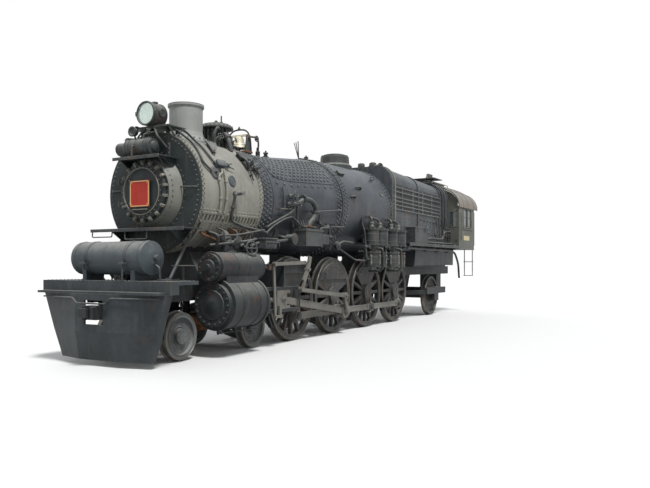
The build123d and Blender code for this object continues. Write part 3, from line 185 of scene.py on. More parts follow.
@dataclass
class Nodes:
    """Short ways to place nodes in one tree."""

    tree: bpy.types.NodeTree

    def fill(self, socket: Socket, value: object) -> None:
        """Gives an input a value, or links another node's output to it."""
        if isinstance(value, bpy.types.NodeSocket):
            self.tree.links.new(value, socket)
        else:
            socket.default_value = value

    def add(self, kind: str, inputs: dict | None = None, **settings: object) -> bpy.types.Node:
        """Places a node.

        Args:
            kind: the node's type.
            inputs: values or sockets by input name or number.
            settings: the node's own properties.

        Returns:
            The node.
        """
        node = self.tree.nodes.new(kind)
        for key, value in settings.items():
            setattr(node, key, value)
        for key, value in (inputs or {}).items():
            self.fill(node.inputs[key], value)
        return node

    def math(self, operation: str, a: Socket | float, b: Socket | float = 0.0,
             clamp: bool = False) -> Socket:
        """The result of one sum on two numbers."""
        return self.add("ShaderNodeMath", {0: a, 1: b}, operation=operation, use_clamp=clamp).outputs[0]

    def times(self, a: Socket | float, b: Socket | float, clamp: bool = False) -> Socket:
        """Two numbers multiplied."""
        return self.math("MULTIPLY", a, b, clamp)

    def spread(self, value: Socket, low: float, high: float) -> Socket:
        """A value from low to high, stretched smoothly to 0 to 1."""
        return self.add("ShaderNodeMapRange", {0: value, 1: low, 2: high},
                        interpolation_type="SMOOTHSTEP").outputs[0]

    def noise(self, place: Socket, scale: Socket | float, detail: float = 4.0,
              rough: float = 0.6) -> Socket:
        """A cloudy pattern at a place."""
        values = {"Vector": place, "Scale": scale, "Detail": detail, "Roughness": rough}
        return self.add("ShaderNodeTexNoise", values).outputs[0]

    def mix(self, factor: Socket | float, a: Socket | Colour, b: Socket | Colour) -> Socket:
        """One colour going over to another."""
        node = self.add("ShaderNodeMix", {0: factor}, data_type="RGBA")
        for key, value in ((6, a), (7, b)):
            self.fill(node.inputs[key], (*value, 1.0) if isinstance(value, tuple) else value)
        return node.outputs[2]

    def place(self) -> Socket:
        """Where a point lies on its own object."""
        return self.add("ShaderNodeTexCoord").outputs["Object"]

    def normal(self) -> Socket:
        """Which way the surface faces."""
        return self.add("ShaderNodeNewGeometry").outputs["Normal"]

    def give(self, results: dict[str, Socket]) -> None:
        """Hands results out of a group by the names of its outputs."""
        self.add("NodeGroupOutput", results)


def new_group(name: str, inputs: dict[str, float], outputs: Sequence[str]) -> Nodes:
    """A new node group with named number sockets.

    Args:
        name: the group's name.
        inputs: its inputs with the values that they start from.
        outputs: the names of its outputs.

    Returns:
        The nodes of the group.
    """
    tree = bpy.data.node_groups.new(name, "ShaderNodeTree")
    for key, value in inputs.items():
        socket = tree.interface.new_socket(key, in_out="INPUT", socket_type="NodeSocketFloat")
        socket.default_value = value
    for key in outputs:
        tree.interface.new_socket(key, in_out="OUTPUT", socket_type="NodeSocketFloat")
    return Nodes(tree)


@cache
def weather() -> bpy.types.NodeTree:
    """The group of dust on upper faces, streaks down the sides, blotches, and rust, built once."""
    nodes = new_group("weather", {"Dust": 0.5, "Streaks": 0.4, "Rust": 0.2, "Size": 1.0},
                      ("Dust", "Streaks", "Rust", "Tone"))
    given = nodes.add("NodeGroupInput").outputs
    here = nodes.add("ShaderNodeVectorMath", {0: nodes.place(), "Scale": given["Size"]},
                     operation="SCALE").outputs[0]
    facing = nodes.add("ShaderNodeSeparateXYZ", {0: nodes.normal()}).outputs[2]
    broad, fine = nodes.noise(here, 1.3, 5.0, 0.62), nodes.noise(here, 11.0, 4.0, 0.7)
    above = nodes.spread(nodes.math("ADD", facing, nodes.times(broad, 0.55)), 0.35, 1.2)
    dust = nodes.times(nodes.times(above, fine), 1.7)
    stretch = nodes.add("ShaderNodeMapping", {0: here, 3: (7.0, 7.0, 0.55)}).outputs[0]
    runs = nodes.spread(nodes.noise(stretch, 1.0, 3.0, 0.6), 0.5, 0.75)
    upright = nodes.math("SUBTRACT", 1.0, nodes.math("ABSOLUTE", facing))
    patch = nodes.spread(nodes.noise(here, 2.4, 7.0, 0.68), 0.53, 0.66)
    rust = nodes.times(patch, nodes.spread(fine, 0.38, 0.62))
    blotch = nodes.spread(nodes.math("ADD", broad, nodes.times(fine, 0.35)), 0.4, 0.95)
    nodes.give({"Dust": nodes.times(dust, given["Dust"], True),
                "Streaks": nodes.times(nodes.times(runs, upright), given["Streaks"], True),
                "Rust": nodes.times(rust, given["Rust"], True), "Tone": blotch})
    return nodes.tree


@cache
def worn_edges() -> bpy.types.NodeTree:
    """The group of rubbed corners, where the bevelled normal departs from the true one, built once."""
    nodes = new_group("worn edges", {"Radius": 0.012, "Amount": 0.5}, ("Wear",))
    given = nodes.add("NodeGroupInput").outputs
    soft = nodes.add("ShaderNodeBevel", {0: given["Radius"]}, samples=4).outputs[0]
    match = nodes.add("ShaderNodeVectorMath", {0: soft, 1: nodes.normal()}, operation="DOT_PRODUCT")
    turned = nodes.math("SUBTRACT", 1.0, match.outputs["Value"])
    broken = nodes.spread(nodes.noise(nodes.place(), 9.0, 5.0, 0.7), 0.35, 0.65)
    wear = nodes.times(nodes.spread(turned, 0.02, 0.22), broken)
    nodes.give({"Wear": nodes.times(wear, given["Amount"], True)})
    return nodes.tree


@cache
def surface() -> bpy.types.NodeTree:
    """The group of brushed or cast skin's height: a fine grain over slow dents, built once."""
    nodes = new_group("surface", {"Grain": 60.0, "Dents": 0.5}, ("Height",))
    given = nodes.add("NodeGroupInput").outputs
    place = nodes.place()
    grain, dents = nodes.noise(place, given["Grain"], 5.0, 0.7), nodes.noise(place, 3.1, 2.0, 0.5)
    nodes.give({"Height": nodes.math("ADD", nodes.times(grain, 0.25),
                                     nodes.times(dents, given["Dents"]))})
    return nodes.tree


def blank(name: str) -> bpy.types.Material:
    """A new material with its plain shader."""
    made = bpy.data.materials.new(name)
    made.use_nodes = True
    return made


@dataclass(frozen=True)
class Finish:
    """One weathered finish.

    Args:
        name: the material's name.
        slot: the record's material slot; not used.
        paint: the main colour.
        faded: the colour of its paler blotches.
        dust: how much dust lies on upper faces.
        streaks: how strongly runs show on upright faces.
        rust: how much rust breaks through.
        wear: how rubbed its corners are.
        rough: roughness of the paint.
        metal: 1 for bare metal.
        grain: scale of the fine bump.
        dents: height of the slow dents beside the grain.
        bump: depth of the bump in metres.
        dust_colour: colour of the dust.
        streak_colour: colour of the runs.
        bare: colour of rubbed corners.
        rust_colour: colour of the rust.
    """

    name: str
    slot: str
    paint: Colour
    faded: Colour
    dust: float = 0.5
    streaks: float = 0.4
    rust: float = 0.2
    wear: float = 0.5
    rough: float = 0.55
    metal: float = 0.0
    grain: float = 60.0
    dents: float = 0.4
    bump: float = 0.004
    dust_colour: Colour = tone(150, 150, 144)
    streak_colour: Colour = tone(112, 104, 92)
    bare: Colour = tone(128, 130, 128)
    rust_colour: Colour = tone(112, 66, 40)

    def material(self) -> bpy.types.Material:
        """The material of this finish, filled in when it is first asked for.

        Returns:
            The material.
        """
        found = bpy.data.materials.get(self.name)
        if found:
            return found
        made = blank(self.name)
        nodes = Nodes(made.node_tree)
        shader = made.node_tree.nodes["Principled BSDF"].inputs
        amounts = {"Dust": self.dust, "Streaks": self.streaks, "Rust": self.rust}
        group = "ShaderNodeGroup"
        worn = nodes.add(group, {}, node_tree=worn_edges())
        worn.inputs["Amount"].default_value = self.wear
        wear = worn.outputs["Wear"]
        aged = nodes.add(group, {}, node_tree=weather())
        for key, value in amounts.items():
            aged.inputs[key].default_value = value
        colour = nodes.mix(aged.outputs["Tone"], self.paint, self.faded)
        for mask, over in ((aged.outputs["Streaks"], self.streak_colour),
                           (aged.outputs["Dust"], self.dust_colour),
                           (aged.outputs["Rust"], self.rust_colour), (wear, self.bare)):
            colour = nodes.mix(mask, colour, over)
        dull = nodes.times(nodes.math("ADD", aged.outputs["Dust"], aged.outputs["Rust"], True), 0.3)
        rough = nodes.math("SUBTRACT", nodes.math("ADD", dull, self.rough), nodes.times(wear, 0.15), True)
        skin = nodes.add(group, {}, node_tree=surface())
        for key, value in (("Grain", self.grain), ("Dents", self.dents)):
            skin.inputs[key].default_value = value
        bump = nodes.add("ShaderNodeBump", {"Strength": 0.5, "Distance": self.bump,
                                            "Height": skin.outputs["Height"]})
        for key, value in (("Metallic", self.metal), ("Specular IOR Level", 0.25), ("Base Color", colour),
                           ("Roughness", rough), ("Normal", bump.outputs[0])):
            nodes.fill(shader[key], value)
        return made


@dataclass(frozen=True)
class Glass:
    """Clear or tinted glass, with a share of grime that lets less through.

    Args:
        name: the material's name.
        slot: the record's material slot; not used.
        tint: the glass's colour.
        grime: the share of light that the grime keeps.
    """

    name: str
    slot: str
    tint: Colour
    grime: float = 0.0

    def material(self) -> bpy.types.Material:
        """The material of this glass, filled in when it is first asked for.

        Returns:
            The material.
        """
        found = bpy.data.materials.get(self.name)
        if found:
            return found
        made = blank(self.name)
        nodes = Nodes(made.node_tree)
        shader = made.node_tree.nodes["Principled BSDF"].inputs
        haze = nodes.spread(nodes.noise(nodes.place(), 14.0), 0.55, 0.8)
        for key, value in (("IOR", 1.3), ("Roughness", 0.05), ("Transmission Weight", 1.0 - self.grime),
                           ("Base Color", nodes.mix(haze, self.tint, tone(168, 172, 164)))):
            nodes.fill(shader[key], value)
        return made


SMOKE_GREY = Finish("smokebox graphite paint", "smokebox_paint", tone(130, 130, 123), tone(162, 160, 150),
                    dust=0.35, streaks=0.45, rust=0.1, rough=0.62, streak_colour=tone(112, 102, 86))
STACK_GREY = Finish("stack paint", "smokebox_paint", tone(146, 149, 146), tone(164, 165, 160),
                    dust=0.3, streaks=0.35, rust=0.06, rough=0.6)
RIVET_BROWN = Finish("smokebox rivet heads", "smokebox_paint", tone(92, 88, 78), tone(128, 124, 112),
                     dust=0.3, streaks=0.1, rust=0.3, wear=0.6, rough=0.5)
# Painted highlight: the heads' paler tone stands in for their shine; the rubbed edges are wear.
RIVET_PALE = Finish("rubbed rivet heads with painted highlight", "boiler_black", tone(68, 72, 75), tone(104, 107, 108),
                    streaks=0.0, rust=0.12, wear=0.9, rough=0.36, bare=tone(146, 148, 146))
# Painted highlight: these heads are paler than the front paint to stand in for their lit tops; the rubbed
# edges are wear.
FRONT_RIVET = Finish("front ring rivet heads", "front_paint", tone(62, 66, 65), tone(92, 94, 89),
                     dust=0.4, streaks=0.0, rust=0.15, wear=0.7, rough=0.45)
# Painted shade: a dark finish for the rings round rivet feet and for the plates between the firebox strips.
PAINTED_SHADE = Finish("painted shade in the corners", "boiler_black", tone(25, 27, 29), tone(38, 41, 43), dust=0.06,
               streaks=0.0, rust=0.05, wear=0.0, rough=0.6)
STRIP_GREY = Finish("firebox strips", "boiler_black", tone(76, 80, 82), tone(112, 114, 112), dust=0.7,
                    streaks=0.3, wear=0.7, rough=0.42)
FRONT_GREEN = Finish("front paint", "front_paint", tone(33, 39, 40), tone(52, 59, 59), dust=0.2,
                     streaks=0.3, rust=0.12, rough=0.5)
# Painted light: this pale drum tone stands in for sunlight on the drum's side, together with its dust.
DRUM_GREY = Finish("door drum paint, dust and painted light", "front_paint", tone(112, 113, 107), tone(140, 139, 131), dust=0.4,
                   streaks=0.5, rust=0.12, rough=0.5, streak_colour=tone(86, 84, 76))
CLAMP_GREY = Finish("door clamp paint", "front_paint", tone(106, 104, 96), tone(136, 132, 120),
                    streaks=0.2, rust=0.3, wear=0.8, rough=0.5)
COURSE_DARK = Finish("front course plate", "boiler_black", tone(46, 50, 56), tone(70, 76, 82), dust=0.65,
                     streaks=0.35, rust=0.16, rough=0.38, dust_colour=tone(112, 117, 121))
FIREBOX_GREY = Finish("firebox plate", "boiler_black", tone(50, 55, 60), tone(82, 88, 92), dust=0.6,
                      streaks=0.5, rust=0.3, rough=0.5, dust_colour=tone(128, 132, 134))
FITTING_DARK = Finish("fittings paint", "boiler_black", tone(38, 41, 43), tone(82, 86, 86), dust=0.6,
                      streaks=0.3, rust=0.3, wear=0.7, rough=0.5)
FITTING_PALE = Finish("bare valve metal", "boiler_black", tone(112, 114, 108), tone(150, 150, 142),
                      dust=0.4, streaks=0.3, rust=0.3, wear=0.7, rough=0.45)
CHASSIS = Finish("chassis black", "chassis_black", tone(32, 35, 37), tone(56, 60, 62), streaks=0.5,
                 rust=0.35, wear=0.6, streak_colour=tone(86, 84, 78))
DECK_GREY = Finish("pilot and deck paint", "chassis_black", tone(46, 51, 54), tone(68, 73, 76),
                   rust=0.16, rough=0.5, streak_colour=tone(84, 86, 84))
TANK_GREY = Finish("air tank paint", "chassis_black", tone(58, 66, 71), tone(78, 86, 90), dust=0.6,
                   streaks=0.2, rust=0.08, rough=0.45)
WHEEL_DARK = Finish("wheel paint", "wheel_steel", tone(52, 54, 55), tone(84, 84, 82), rust=0.5, wear=0.7)
WHEEL_PALE = Finish("truck wheel paint", "wheel_steel", tone(86, 90, 93), tone(116, 118, 116), rust=0.5,
                    wear=0.7)
TREAD_STEEL = Finish("tyre tread steel", "wheel_steel", tone(108, 102, 94), tone(134, 128, 118),
                     dust=0.1, streaks=0.0, rust=0.6, wear=0.3, rough=0.4, metal=1.0, grain=120.0)
ROD_STEEL = Finish("rod steel", "rod_steel", tone(98, 97, 92), tone(128, 126, 119), dust=0.4,
                   rust=0.45, wear=0.7, rough=0.45, metal=0.35)
CAB_OLIVE = Finish("cab paint", "cab_paint", tone(88, 89, 83), tone(108, 108, 100), dust=0.3,
                   streaks=0.5, rust=0.14, streak_colour=tone(70, 70, 66))
CAB_INSIDE = Finish("cab inside paint", "seat_wood", tone(58, 62, 56), tone(78, 80, 70), dust=0.4,
                    streaks=0.3, rust=0.3, rough=0.6)
ROOF_BROWN = Finish("roof paint", "roof_paint", tone(116, 109, 100), tone(140, 134, 124), dust=0.7,
                    streaks=0.3, rust=0.3, rough=0.62, dust_colour=tone(150, 150, 148))
BELL_CREAM = Finish("bell bronze", "bell_bronze", tone(206, 199, 168), tone(228, 222, 196), dust=0.1,
                    streaks=0.3, rust=0.04, wear=0.4, rough=0.36, metal=0.2,
                    streak_colour=tone(120, 124, 104))
PLATE_RED = Finish("plate red", "plate_red", tone(168, 34, 26), tone(186, 56, 42), dust=0.1, streaks=0.1,
                   rust=0.02, wear=0.3, rough=0.35, bump=0.001)
PLATE_GOLD = Finish("plate border", "plate_red", tone(214, 178, 120), tone(226, 194, 140), dust=0.1,
                    streaks=0.1, rust=0.03, wear=0.2, rough=0.4, bump=0.001)
CREAM = Finish("cab panel cream", "cab_paint", tone(196, 184, 140), tone(212, 200, 158), dust=0.1,
               streaks=0.2, rust=0.05, wear=0.2, rough=0.5, bump=0.001)
RUST = Finish("rusted casting", "rust", tone(98, 74, 58), tone(132, 92, 64), dust=0.3, streaks=0.3,
              rust=0.9, wear=0.3, rough=0.8, grain=90.0, bump=0.006, rust_colour=tone(146, 82, 46))
LENS = Glass("headlight glass", "lens_glass", (0.9, 0.97, 0.95))
# Painted shade: the panes' dark tint stands in for the shaded cab behind them; the haze on them is dust.
PANE = Glass("dusty cab glass tinted as painted shade", "lens_glass", (0.16, 0.18, 0.18), 0.35)
REFLECTOR = Finish("reflector silver", "lens_glass", tone(196, 206, 200), tone(222, 230, 224), dust=0.0,
                   streaks=0.1, rust=0.0, wear=0.0, rough=0.16, metal=0.9, bump=0.0005)

NODE_FINISHES: dict[Finish | Glass, str] = {
    SMOKE_GREY: "smokebox", STACK_GREY: "stack", COURSE_DARK: "boiler_barrel", FIREBOX_GREY: "firebox",
    FRONT_GREEN: "smokebox_front smokebox_door front_shelves",
    FITTING_DARK: "steam_dome boiler_fittings feedwater_drum generator headlight bell_stand lubricator_box"
                  " air_pumps steam_pipes running_board_left running_board_right turret_hood",
    TANK_GREY: "air_tank", DECK_GREY: "pilot front_deck front_braces", RUST: "leading_truck",
    CHASSIS: "main_frame cylinder_casting guides_and_yoke brake_gear driver_springs driving_boxes coupler"
             " coupler_knuckle drawbar ash_pan trailing_truck",
    WHEEL_PALE: "leading_wheelset_front leading_wheelset_rear",
    WHEEL_DARK: "driving_wheelset_1 driving_wheelset_2 driving_wheelset_3 driving_wheelset_4"
                " trailing_wheelset",
    ROD_STEEL: "side_rod_left side_rod_right main_rods crossheads valve_gear_left valve_gear_right",
    CAB_OLIVE: "cab_left cab_right cab_front cab_floor cab_door_left cab_door_right",
    CAB_INSIDE: "cab_fittings", ROOF_BROWN: "cab_roof", BELL_CREAM: "bell", PLATE_RED: "front_plate",
    LENS: "headlight_lens",
}


def paint_nodes() -> None:
    """Gives every node of the frame its finish."""
    finishes = {name: finish for finish, names in NODE_FINISHES.items() for name in names.split()}
    for name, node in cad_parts.items():
        if name not in finishes:
            LOG.warning("%s has no finish", name)
        for slot in node.material_slots:
            slot.material = finishes.get(name, FITTING_DARK).material()


@dataclass(frozen=True)
class BoilerSkin:
    """The boiler's outer line: angle 0 is its left side, 90 its top, 180 its right side."""

    smokebox: float = 1.095
    middle: float = 1.202
    rear: float = 1.230
    cone: float = 3.1
    join: float = 5.2
    end: float = 8.1
    foot: float = 1.885

    def radius(self, station: float) -> float:
        """The boiler's radius at a station."""
        stops = ((-1.0, self.smokebox), (self.cone, self.smokebox), (self.join, self.middle),
                 (self.end, self.rear))
        for (s0, r0), (s1, r1) in zip(stops, stops[1:]):
            if station <= s1:
                return r0 + (r1 - r0) * (station - s0) / (s1 - s0)
        return self.rear

    def on(self, station: float, angle: float, lift: float = 0.0) -> Vector:
        """A point over the boiler's surface.

        Args:
            station: metres rearward of the smokebox front.
            angle: degrees up from the engine's left side.
            lift: distance over the surface.

        Returns:
            The point in the frame.
        """
        radius, a = self.radius(station), radians(angle)
        reach = radius + lift
        return at(station, -cos(a) * reach, self.foot + radius + sin(a) * reach)

    def out(self, station: float, angle: float) -> Vector:
        """The outward direction at a place on the boiler."""
        a = radians(angle)
        slope = (self.radius(station + 0.01) - self.radius(station - 0.01)) / 0.02
        return Vector((-slope * (1 + sin(a)), -cos(a), sin(a))).normalized()


SKIN = BoilerSkin(rear=(span("boiler_barrel")[1][2] - BoilerSkin.foot) / 2)


def trail(stops: Sequence[Pair], lift: float, step: float = 7.0) -> list[Vector]:
    """A path that stays over the boiler's skin between (station, angle) stops.

    Args:
        stops: the stations and angles that it passes.
        lift: height of the path over the skin.
        step: most degrees between its points.

    Returns:
        The points of the path.
    """
    path = [SKIN.on(*stops[0], lift)]
    for (s0, a0), (s1, a1) in zip(stops, stops[1:]):
        count = max(1, int(abs(a1 - a0) / step + 0.5))
        for share in (i / count for i in range(1, count + 1)):
            path.append(SKIN.on(s0 + (s1 - s0) * share, a0 + (a1 - a0) * share, lift))
    return path


@dataclass(frozen=True)
class FireboxSkin:
    """The firebox's outer line between its front and rear ends."""

    front: float
    back: float
    half: Pair
    top: Pair
    shoulder: float = 0.45

    @classmethod
    def read(cls) -> "FireboxSkin":
        """Measures both ends of the firebox node.

        Returns:
            The line.
        """
        points = [v.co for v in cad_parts["firebox"].data.vertices]
        ends = min(p.x for p in points), max(p.x for p in points)
        near = [[p for p in points if abs(p.x - end) < 0.01] for end in ends]
        return cls(*(end - FRONT_X for end in ends), tuple(max(abs(p.y) for p in ring) for ring in near),
                   tuple(max(p.z for p in ring) - FLANGE for ring in near))

    def _between(self, pair: Pair, station: float) -> float:
        """A value at a station between its ends."""
        return pair[0] + (pair[1] - pair[0]) * (station - self.front) / (self.back - self.front)

    def size(self, station: float) -> Pair:
        """Half the width and the height of the top at a station."""
        return self._between(self.half, station), self._between(self.top, station)

    def over(self, station: float, lift: float = 0.0) -> list[Vector]:
        """Points from the left side over the top to the right side."""
        (half, top), r, low = self.size(station), self.shoulder, 2.5
        turn = [(half - r + (r + lift) * cos(radians(a)), top - r + (r + lift) * sin(radians(a)))
                for a in range(0, 91, 10)]
        side = [(half + lift, low), *turn]
        return [at(station, y, h) for y, h in [(-y, h) for y, h in side] + side[::-1]]


class Stud(Enum):
    """The small heads: sides, (radius, height) rings in units of the radius, and the tip's height."""

    RIVET = (8, ((1.0, 0.0), (0.86, 0.42), (0.45, 0.7)), 0.78)
    SMALL = (6, ((1.0, 0.0), (0.72, 0.52)), 0.7)
    BOLT = (6, ((1.0, 0.0), (1.0, 0.62), (0.84, 0.74)), 0.74)
    NUT = (6, ((1.0, 0.0), (1.0, 0.75), (0.5, 0.78), (0.5, 1.3)), 1.36)
    CAP = (8, ((1.0, 0.0), (1.0, 0.35), (0.68, 0.4), (0.68, 1.0)), 1.15)
    HIGH = (10, ((1.0, 0.0), (0.95, 0.4), (0.68, 0.78), (0.3, 0.95)), 0.98)
    # A flat disc; under the boiler rivets it carries the painted shade ring.
    FLAT_DISC = (12, ((1.0, 0.0), (0.98, 0.03)), 0.03)


@dataclass
class Shape:
    """Points and faces of one piece, gathered before it becomes an object.

    Places are vectors, or (station, side, height); directions are vectors, or tuples. Tuples and
    angles on the boiler are mirrored by hand: -1 is the left side and 1 the right one.

    Args:
        name: the piece's name.
        finish: the material that its next faces get.
        body: the body that it moves with.
        hand: its side, or 0 where nothing is mirrored.
    """

    name: str
    finish: Finish | Glass = FITTING_DARK
    body: str = "engine"
    hand: int = 0
    points: list[Vector] = field(default_factory=list)
    faces: list[tuple[int, ...]] = field(default_factory=list)
    slots: list[int] = field(default_factory=list)
    finishes: list[Finish | Glass] = field(default_factory=list)

    def sides(self) -> Iterator[int]:
        """Goes over the left side and then the right one, and mirrors what is placed meanwhile."""
        for self.hand in (-1, 1):
            yield self.hand
        self.hand = 0

    def spot(self, place: Spot) -> Vector:
        """A place on the side that is being built."""
        return place if isinstance(place, Vector) else at(place[0], place[1] * (self.hand or 1), place[2])

    def way(self, along: Spot) -> Vector:
        """A direction on the side that is being built, one long."""
        if not isinstance(along, Vector):
            along = Vector((along[0], along[1] * (self.hand or 1), along[2]))
        return along.normalized()

    def turn(self, angle: float) -> float:
        """An angle on the boiler's left side as it is, or mirrored to the right one."""
        return 180 - angle if self.hand > 0 else angle

    def on(self, station: float, angle: float, lift: float = 0.0) -> Vector:
        """A place over the boiler on the side that is being built."""
        return SKIN.on(station, self.turn(angle), lift)

    def out(self, station: float, angle: float) -> Vector:
        """The outward direction there."""
        return SKIN.out(station, self.turn(angle))

    def _add(self, points: Iterable[Vector], faces: Iterable[tuple[int, ...]]) -> None:
        """Adds points, and faces that count from the first of them."""
        start = len(self.points)
        self.points.extend(points)
        if self.finish not in self.finishes:
            self.finishes.append(self.finish)
        slot = self.finishes.index(self.finish)
        for face in faces:
            self.faces.append(tuple(start + i for i in face))
            self.slots.append(slot)

    def skin(self, rings: Sequence[Sequence[Spot]], closed: bool = True, caps: bool = True,
             loop: bool = False) -> None:
        """Faces between rows of points that follow each other.

        Args:
            rings: rows with the same number of points.
            closed: whether each row runs round to its start.
            caps: whether the first and last rows are filled.
            loop: whether the last row meets the first one, which leaves no caps.
        """
        rings = [*rings, rings[0]] if loop else rings
        count, rows = len(rings[0]), len(rings) - 1
        faces = []
        for row in range(rows):
            for i in range(count if closed else count - 1):
                a, b = row * count + i, row * count + (i + 1) % count
                faces.append((a, b, b + count, a + count))
        if caps and not loop:
            faces.append(tuple(range(count))[::-1])
            faces.append(tuple(rows * count + i for i in range(count)))
        self._add([self.spot(p) for ring in rings for p in ring], faces)

    def turned(self, start: Spot, axis: Spot, profile: Sequence[Pair], sides: int = 24,
               loop: bool = False) -> None:
        """A turned form from (distance along the axis, radius) points.

        Args:
            start: where the axis begins.
            axis: its direction.
            profile: the outline.
            sides: faces round it.
            loop: whether the outline closes on itself, which makes a sleeve.
        """
        start, along = self.spot(start), self.way(axis)
        pair = sides_of(along)
        self.skin([ring(start + along * reach, *pair, max(radius, 0.0005), sides)
                   for reach, radius in profile], loop=loop)

    def boss(self, station: float, angle: float, lift: float, profile: Sequence[Pair],
             sides: int) -> None:
        """A turned form that stands on the boiler's skin."""
        self.turned(self.on(station, angle, lift), self.out(station, angle), profile, sides)

    def bar(self, start: Spot, end: Spot, radius: float, sides: int = 10) -> None:
        """A straight round bar."""
        line = self.spot(end) - self.spot(start)
        self.turned(start, line, ((0, radius), (line.length, radius)), sides)

    def post(self, station: float, angle: float, lift: float, radius: float) -> None:
        """A short bar from the boiler's skin up to a lift over it."""
        self.bar(self.on(station, angle, -0.01), self.on(station, angle, lift), radius, 8)

    def tube(self, points: Sequence[Spot], radius: float, bend: float = 0.08, sides: int = 10) -> None:
        """A round pipe along a bent path.

        Args:
            points: the corners of its path.
            radius: of the pipe.
            bend: how far each bend reaches.
            sides: faces round it.
        """
        path = rounded([self.spot(p) for p in points], bend)
        heading = (path[1] - path[0]).normalized()
        u, v = sides_of(heading)
        rings = []
        for before, point, after in zip([path[0], *path], path, [*path[1:], path[-1]]):
            ahead = (after - before).normalized()
            turn = heading.rotation_difference(ahead)
            heading, u, v = ahead, turn @ u, turn @ v
            rings.append(ring(point, u, v, radius, sides))
        self.skin(rings)

    def block(self, low: Spot, high: Spot, edge: float = 0.004) -> None:
        """A block with chamfered edges, between two corners.

        Args:
            low: one corner.
            high: the corner across from it.
            edge: width of the chamfers.
        """
        ends = [(min(a, b), max(a, b)) for a, b in zip(self.spot(low), self.spot(high))]
        edge = min([edge] + [0.4 * (b - a) for a, b in ends])
        corners = [(i, j, k) for i in (0, 1) for j in (0, 1) for k in (0, 1)]
        points = [Vector([ends[axis][c] + (0 if axis == full else edge * (1 - 2 * c))
                          for axis, c in enumerate(corner)]) for corner in corners for full in range(3)]
        faces = [(n, n + 1, n + 2) for n in range(0, 24, 3)]
        for (axis, across), (a, wide), (b, deep) in (((0, 12), (1, 6), (2, 3)), ((1, 6), (0, 12), (2, 3)),
                                                     ((2, 3), (0, 12), (1, 6))):
            for n in (axis, axis + across):
                faces.append((n, n + deep, n + wide + deep, n + wide))
            for n in (0, wide, deep, wide + deep):
                faces.append((n + a, n + b, n + across + b, n + across + a))
        self._add(points, faces)

    def stud(self, place: Spot, out: Spot, radius: float, kind: Stud = Stud.RIVET) -> None:
        """One small head.

        Args:
            place: where its foot is.
            out: the direction in which it stands.
            radius: of its foot.
            kind: which head.
        """
        sides, rows, top = kind.value
        place, along = self.spot(place), self.way(out)
        pair = sides_of(along)
        points = [p for share, lift in rows
                  for p in ring(place + along * lift * radius, *pair, share * radius, sides)]
        faces = [(a + i, a + (i + 1) % sides, a + sides + (i + 1) % sides, a + sides + i)
                 for a in range(0, sides * (len(rows) - 1), sides) for i in range(sides)]
        last = sides * (len(rows) - 1)
        faces += [(last + i, last + (i + 1) % sides, last + sides) for i in range(sides)]
        self._add([*points, place + along * top * radius], faces)

    def head(self, station: float, angle: float, lift: float, radius: float,
             kind: Stud = Stud.RIVET) -> None:
        """One small head that stands on the boiler's skin."""
        self.stud(self.on(station, angle, lift), self.out(station, angle), radius, kind)

    def studs(self, start: Spot, end: Spot, count: int, out: Spot, radius: float,
              kind: Stud = Stud.RIVET) -> None:
        """A straight row of heads from a start to an end."""
        for i in range(count):
            place = self.spot(start).lerp(self.spot(end), i / max(count - 1, 1))
            self.stud(place, out, radius, kind)

    def circle(self, centre: Spot, axis: Spot, reach: float, count: int, radius: float,
               kind: Stud = Stud.BOLT, turn: float = 0.0) -> None:
        """Heads spaced round a circle, standing along its axis.

        Args:
            centre: of the circle.
            axis: square to it.
            reach: the circle's radius.
            count: how many heads.
            radius: of each head.
            kind: which head.
            turn: degrees by which the first stands on.
        """
        u, v = sides_of(self.way(axis))
        for a in (tau * i / count + radians(turn) for i in range(count)):
            self.stud(self.spot(centre) + (u * cos(a) + v * sin(a)) * reach, axis, radius, kind)

    def hoop(self, centre: Spot, axis: Spot, reach: float, radius: float, steps: int = 28,
             sides: int = 8) -> None:
        """A round bar bent to a ring.

        Args:
            centre: of the ring.
            axis: square to it.
            reach: radius of the ring.
            radius: of the bar.
            steps: points round it.
            sides: faces round the bar.
        """
        centre, along = self.spot(centre), self.way(axis)
        u, v = sides_of(along)
        outs = (u * cos(tau * i / steps) + v * sin(tau * i / steps) for i in range(steps))
        self.skin([ring(centre + out * reach, out, along, radius, sides) for out in outs], loop=True)

    def handwheel(self, centre: Spot, axis: Spot, radius: float) -> None:
        """A small valve wheel with its stem and four spokes."""
        centre, along = self.spot(centre), self.way(axis)
        self.hoop(centre, along, radius, radius * 0.13, 20, 6)
        for tip in ring(centre, *sides_of(along), radius, 4):
            self.bar(centre, tip, radius * 0.09, 6)
        self.bar(centre - along * radius * 1.3, centre + along * radius * 0.2, radius * 0.12, 8)

    def valve(self, centre: Spot, axis: Spot, stem: Spot, size: float) -> None:
        """A globe valve: a round body with flanged ends, a bonnet and a wheel.

        Args:
            centre: of the body.
            axis: the pipe's direction through it.
            stem: where its wheel stands.
            size: radius of the body.
        """
        centre, up = self.spot(centre), self.way(stem)
        body = ((-1.7, 0.8), (-1.35, 0.8), (-1.35, 0.5), (-0.8, 0.95), (0.0, 1.1), (0.8, 0.95), (1.35, 0.5),
                (1.35, 0.8), (1.7, 0.8))
        bonnet = ((0.0, 0.7), (1.2, 0.7), (1.2, 0.9), (1.45, 0.9), (1.5, 0.45), (2.0, 0.4), (2.0, 0.25))
        for along, profile, sides in ((axis, body, 12), (up, bonnet, 8)):
            self.turned(centre, along, [(a * size, r * size) for a, r in profile], sides)
        self.handwheel(centre + up * size * 3.0, up, size * 1.2)

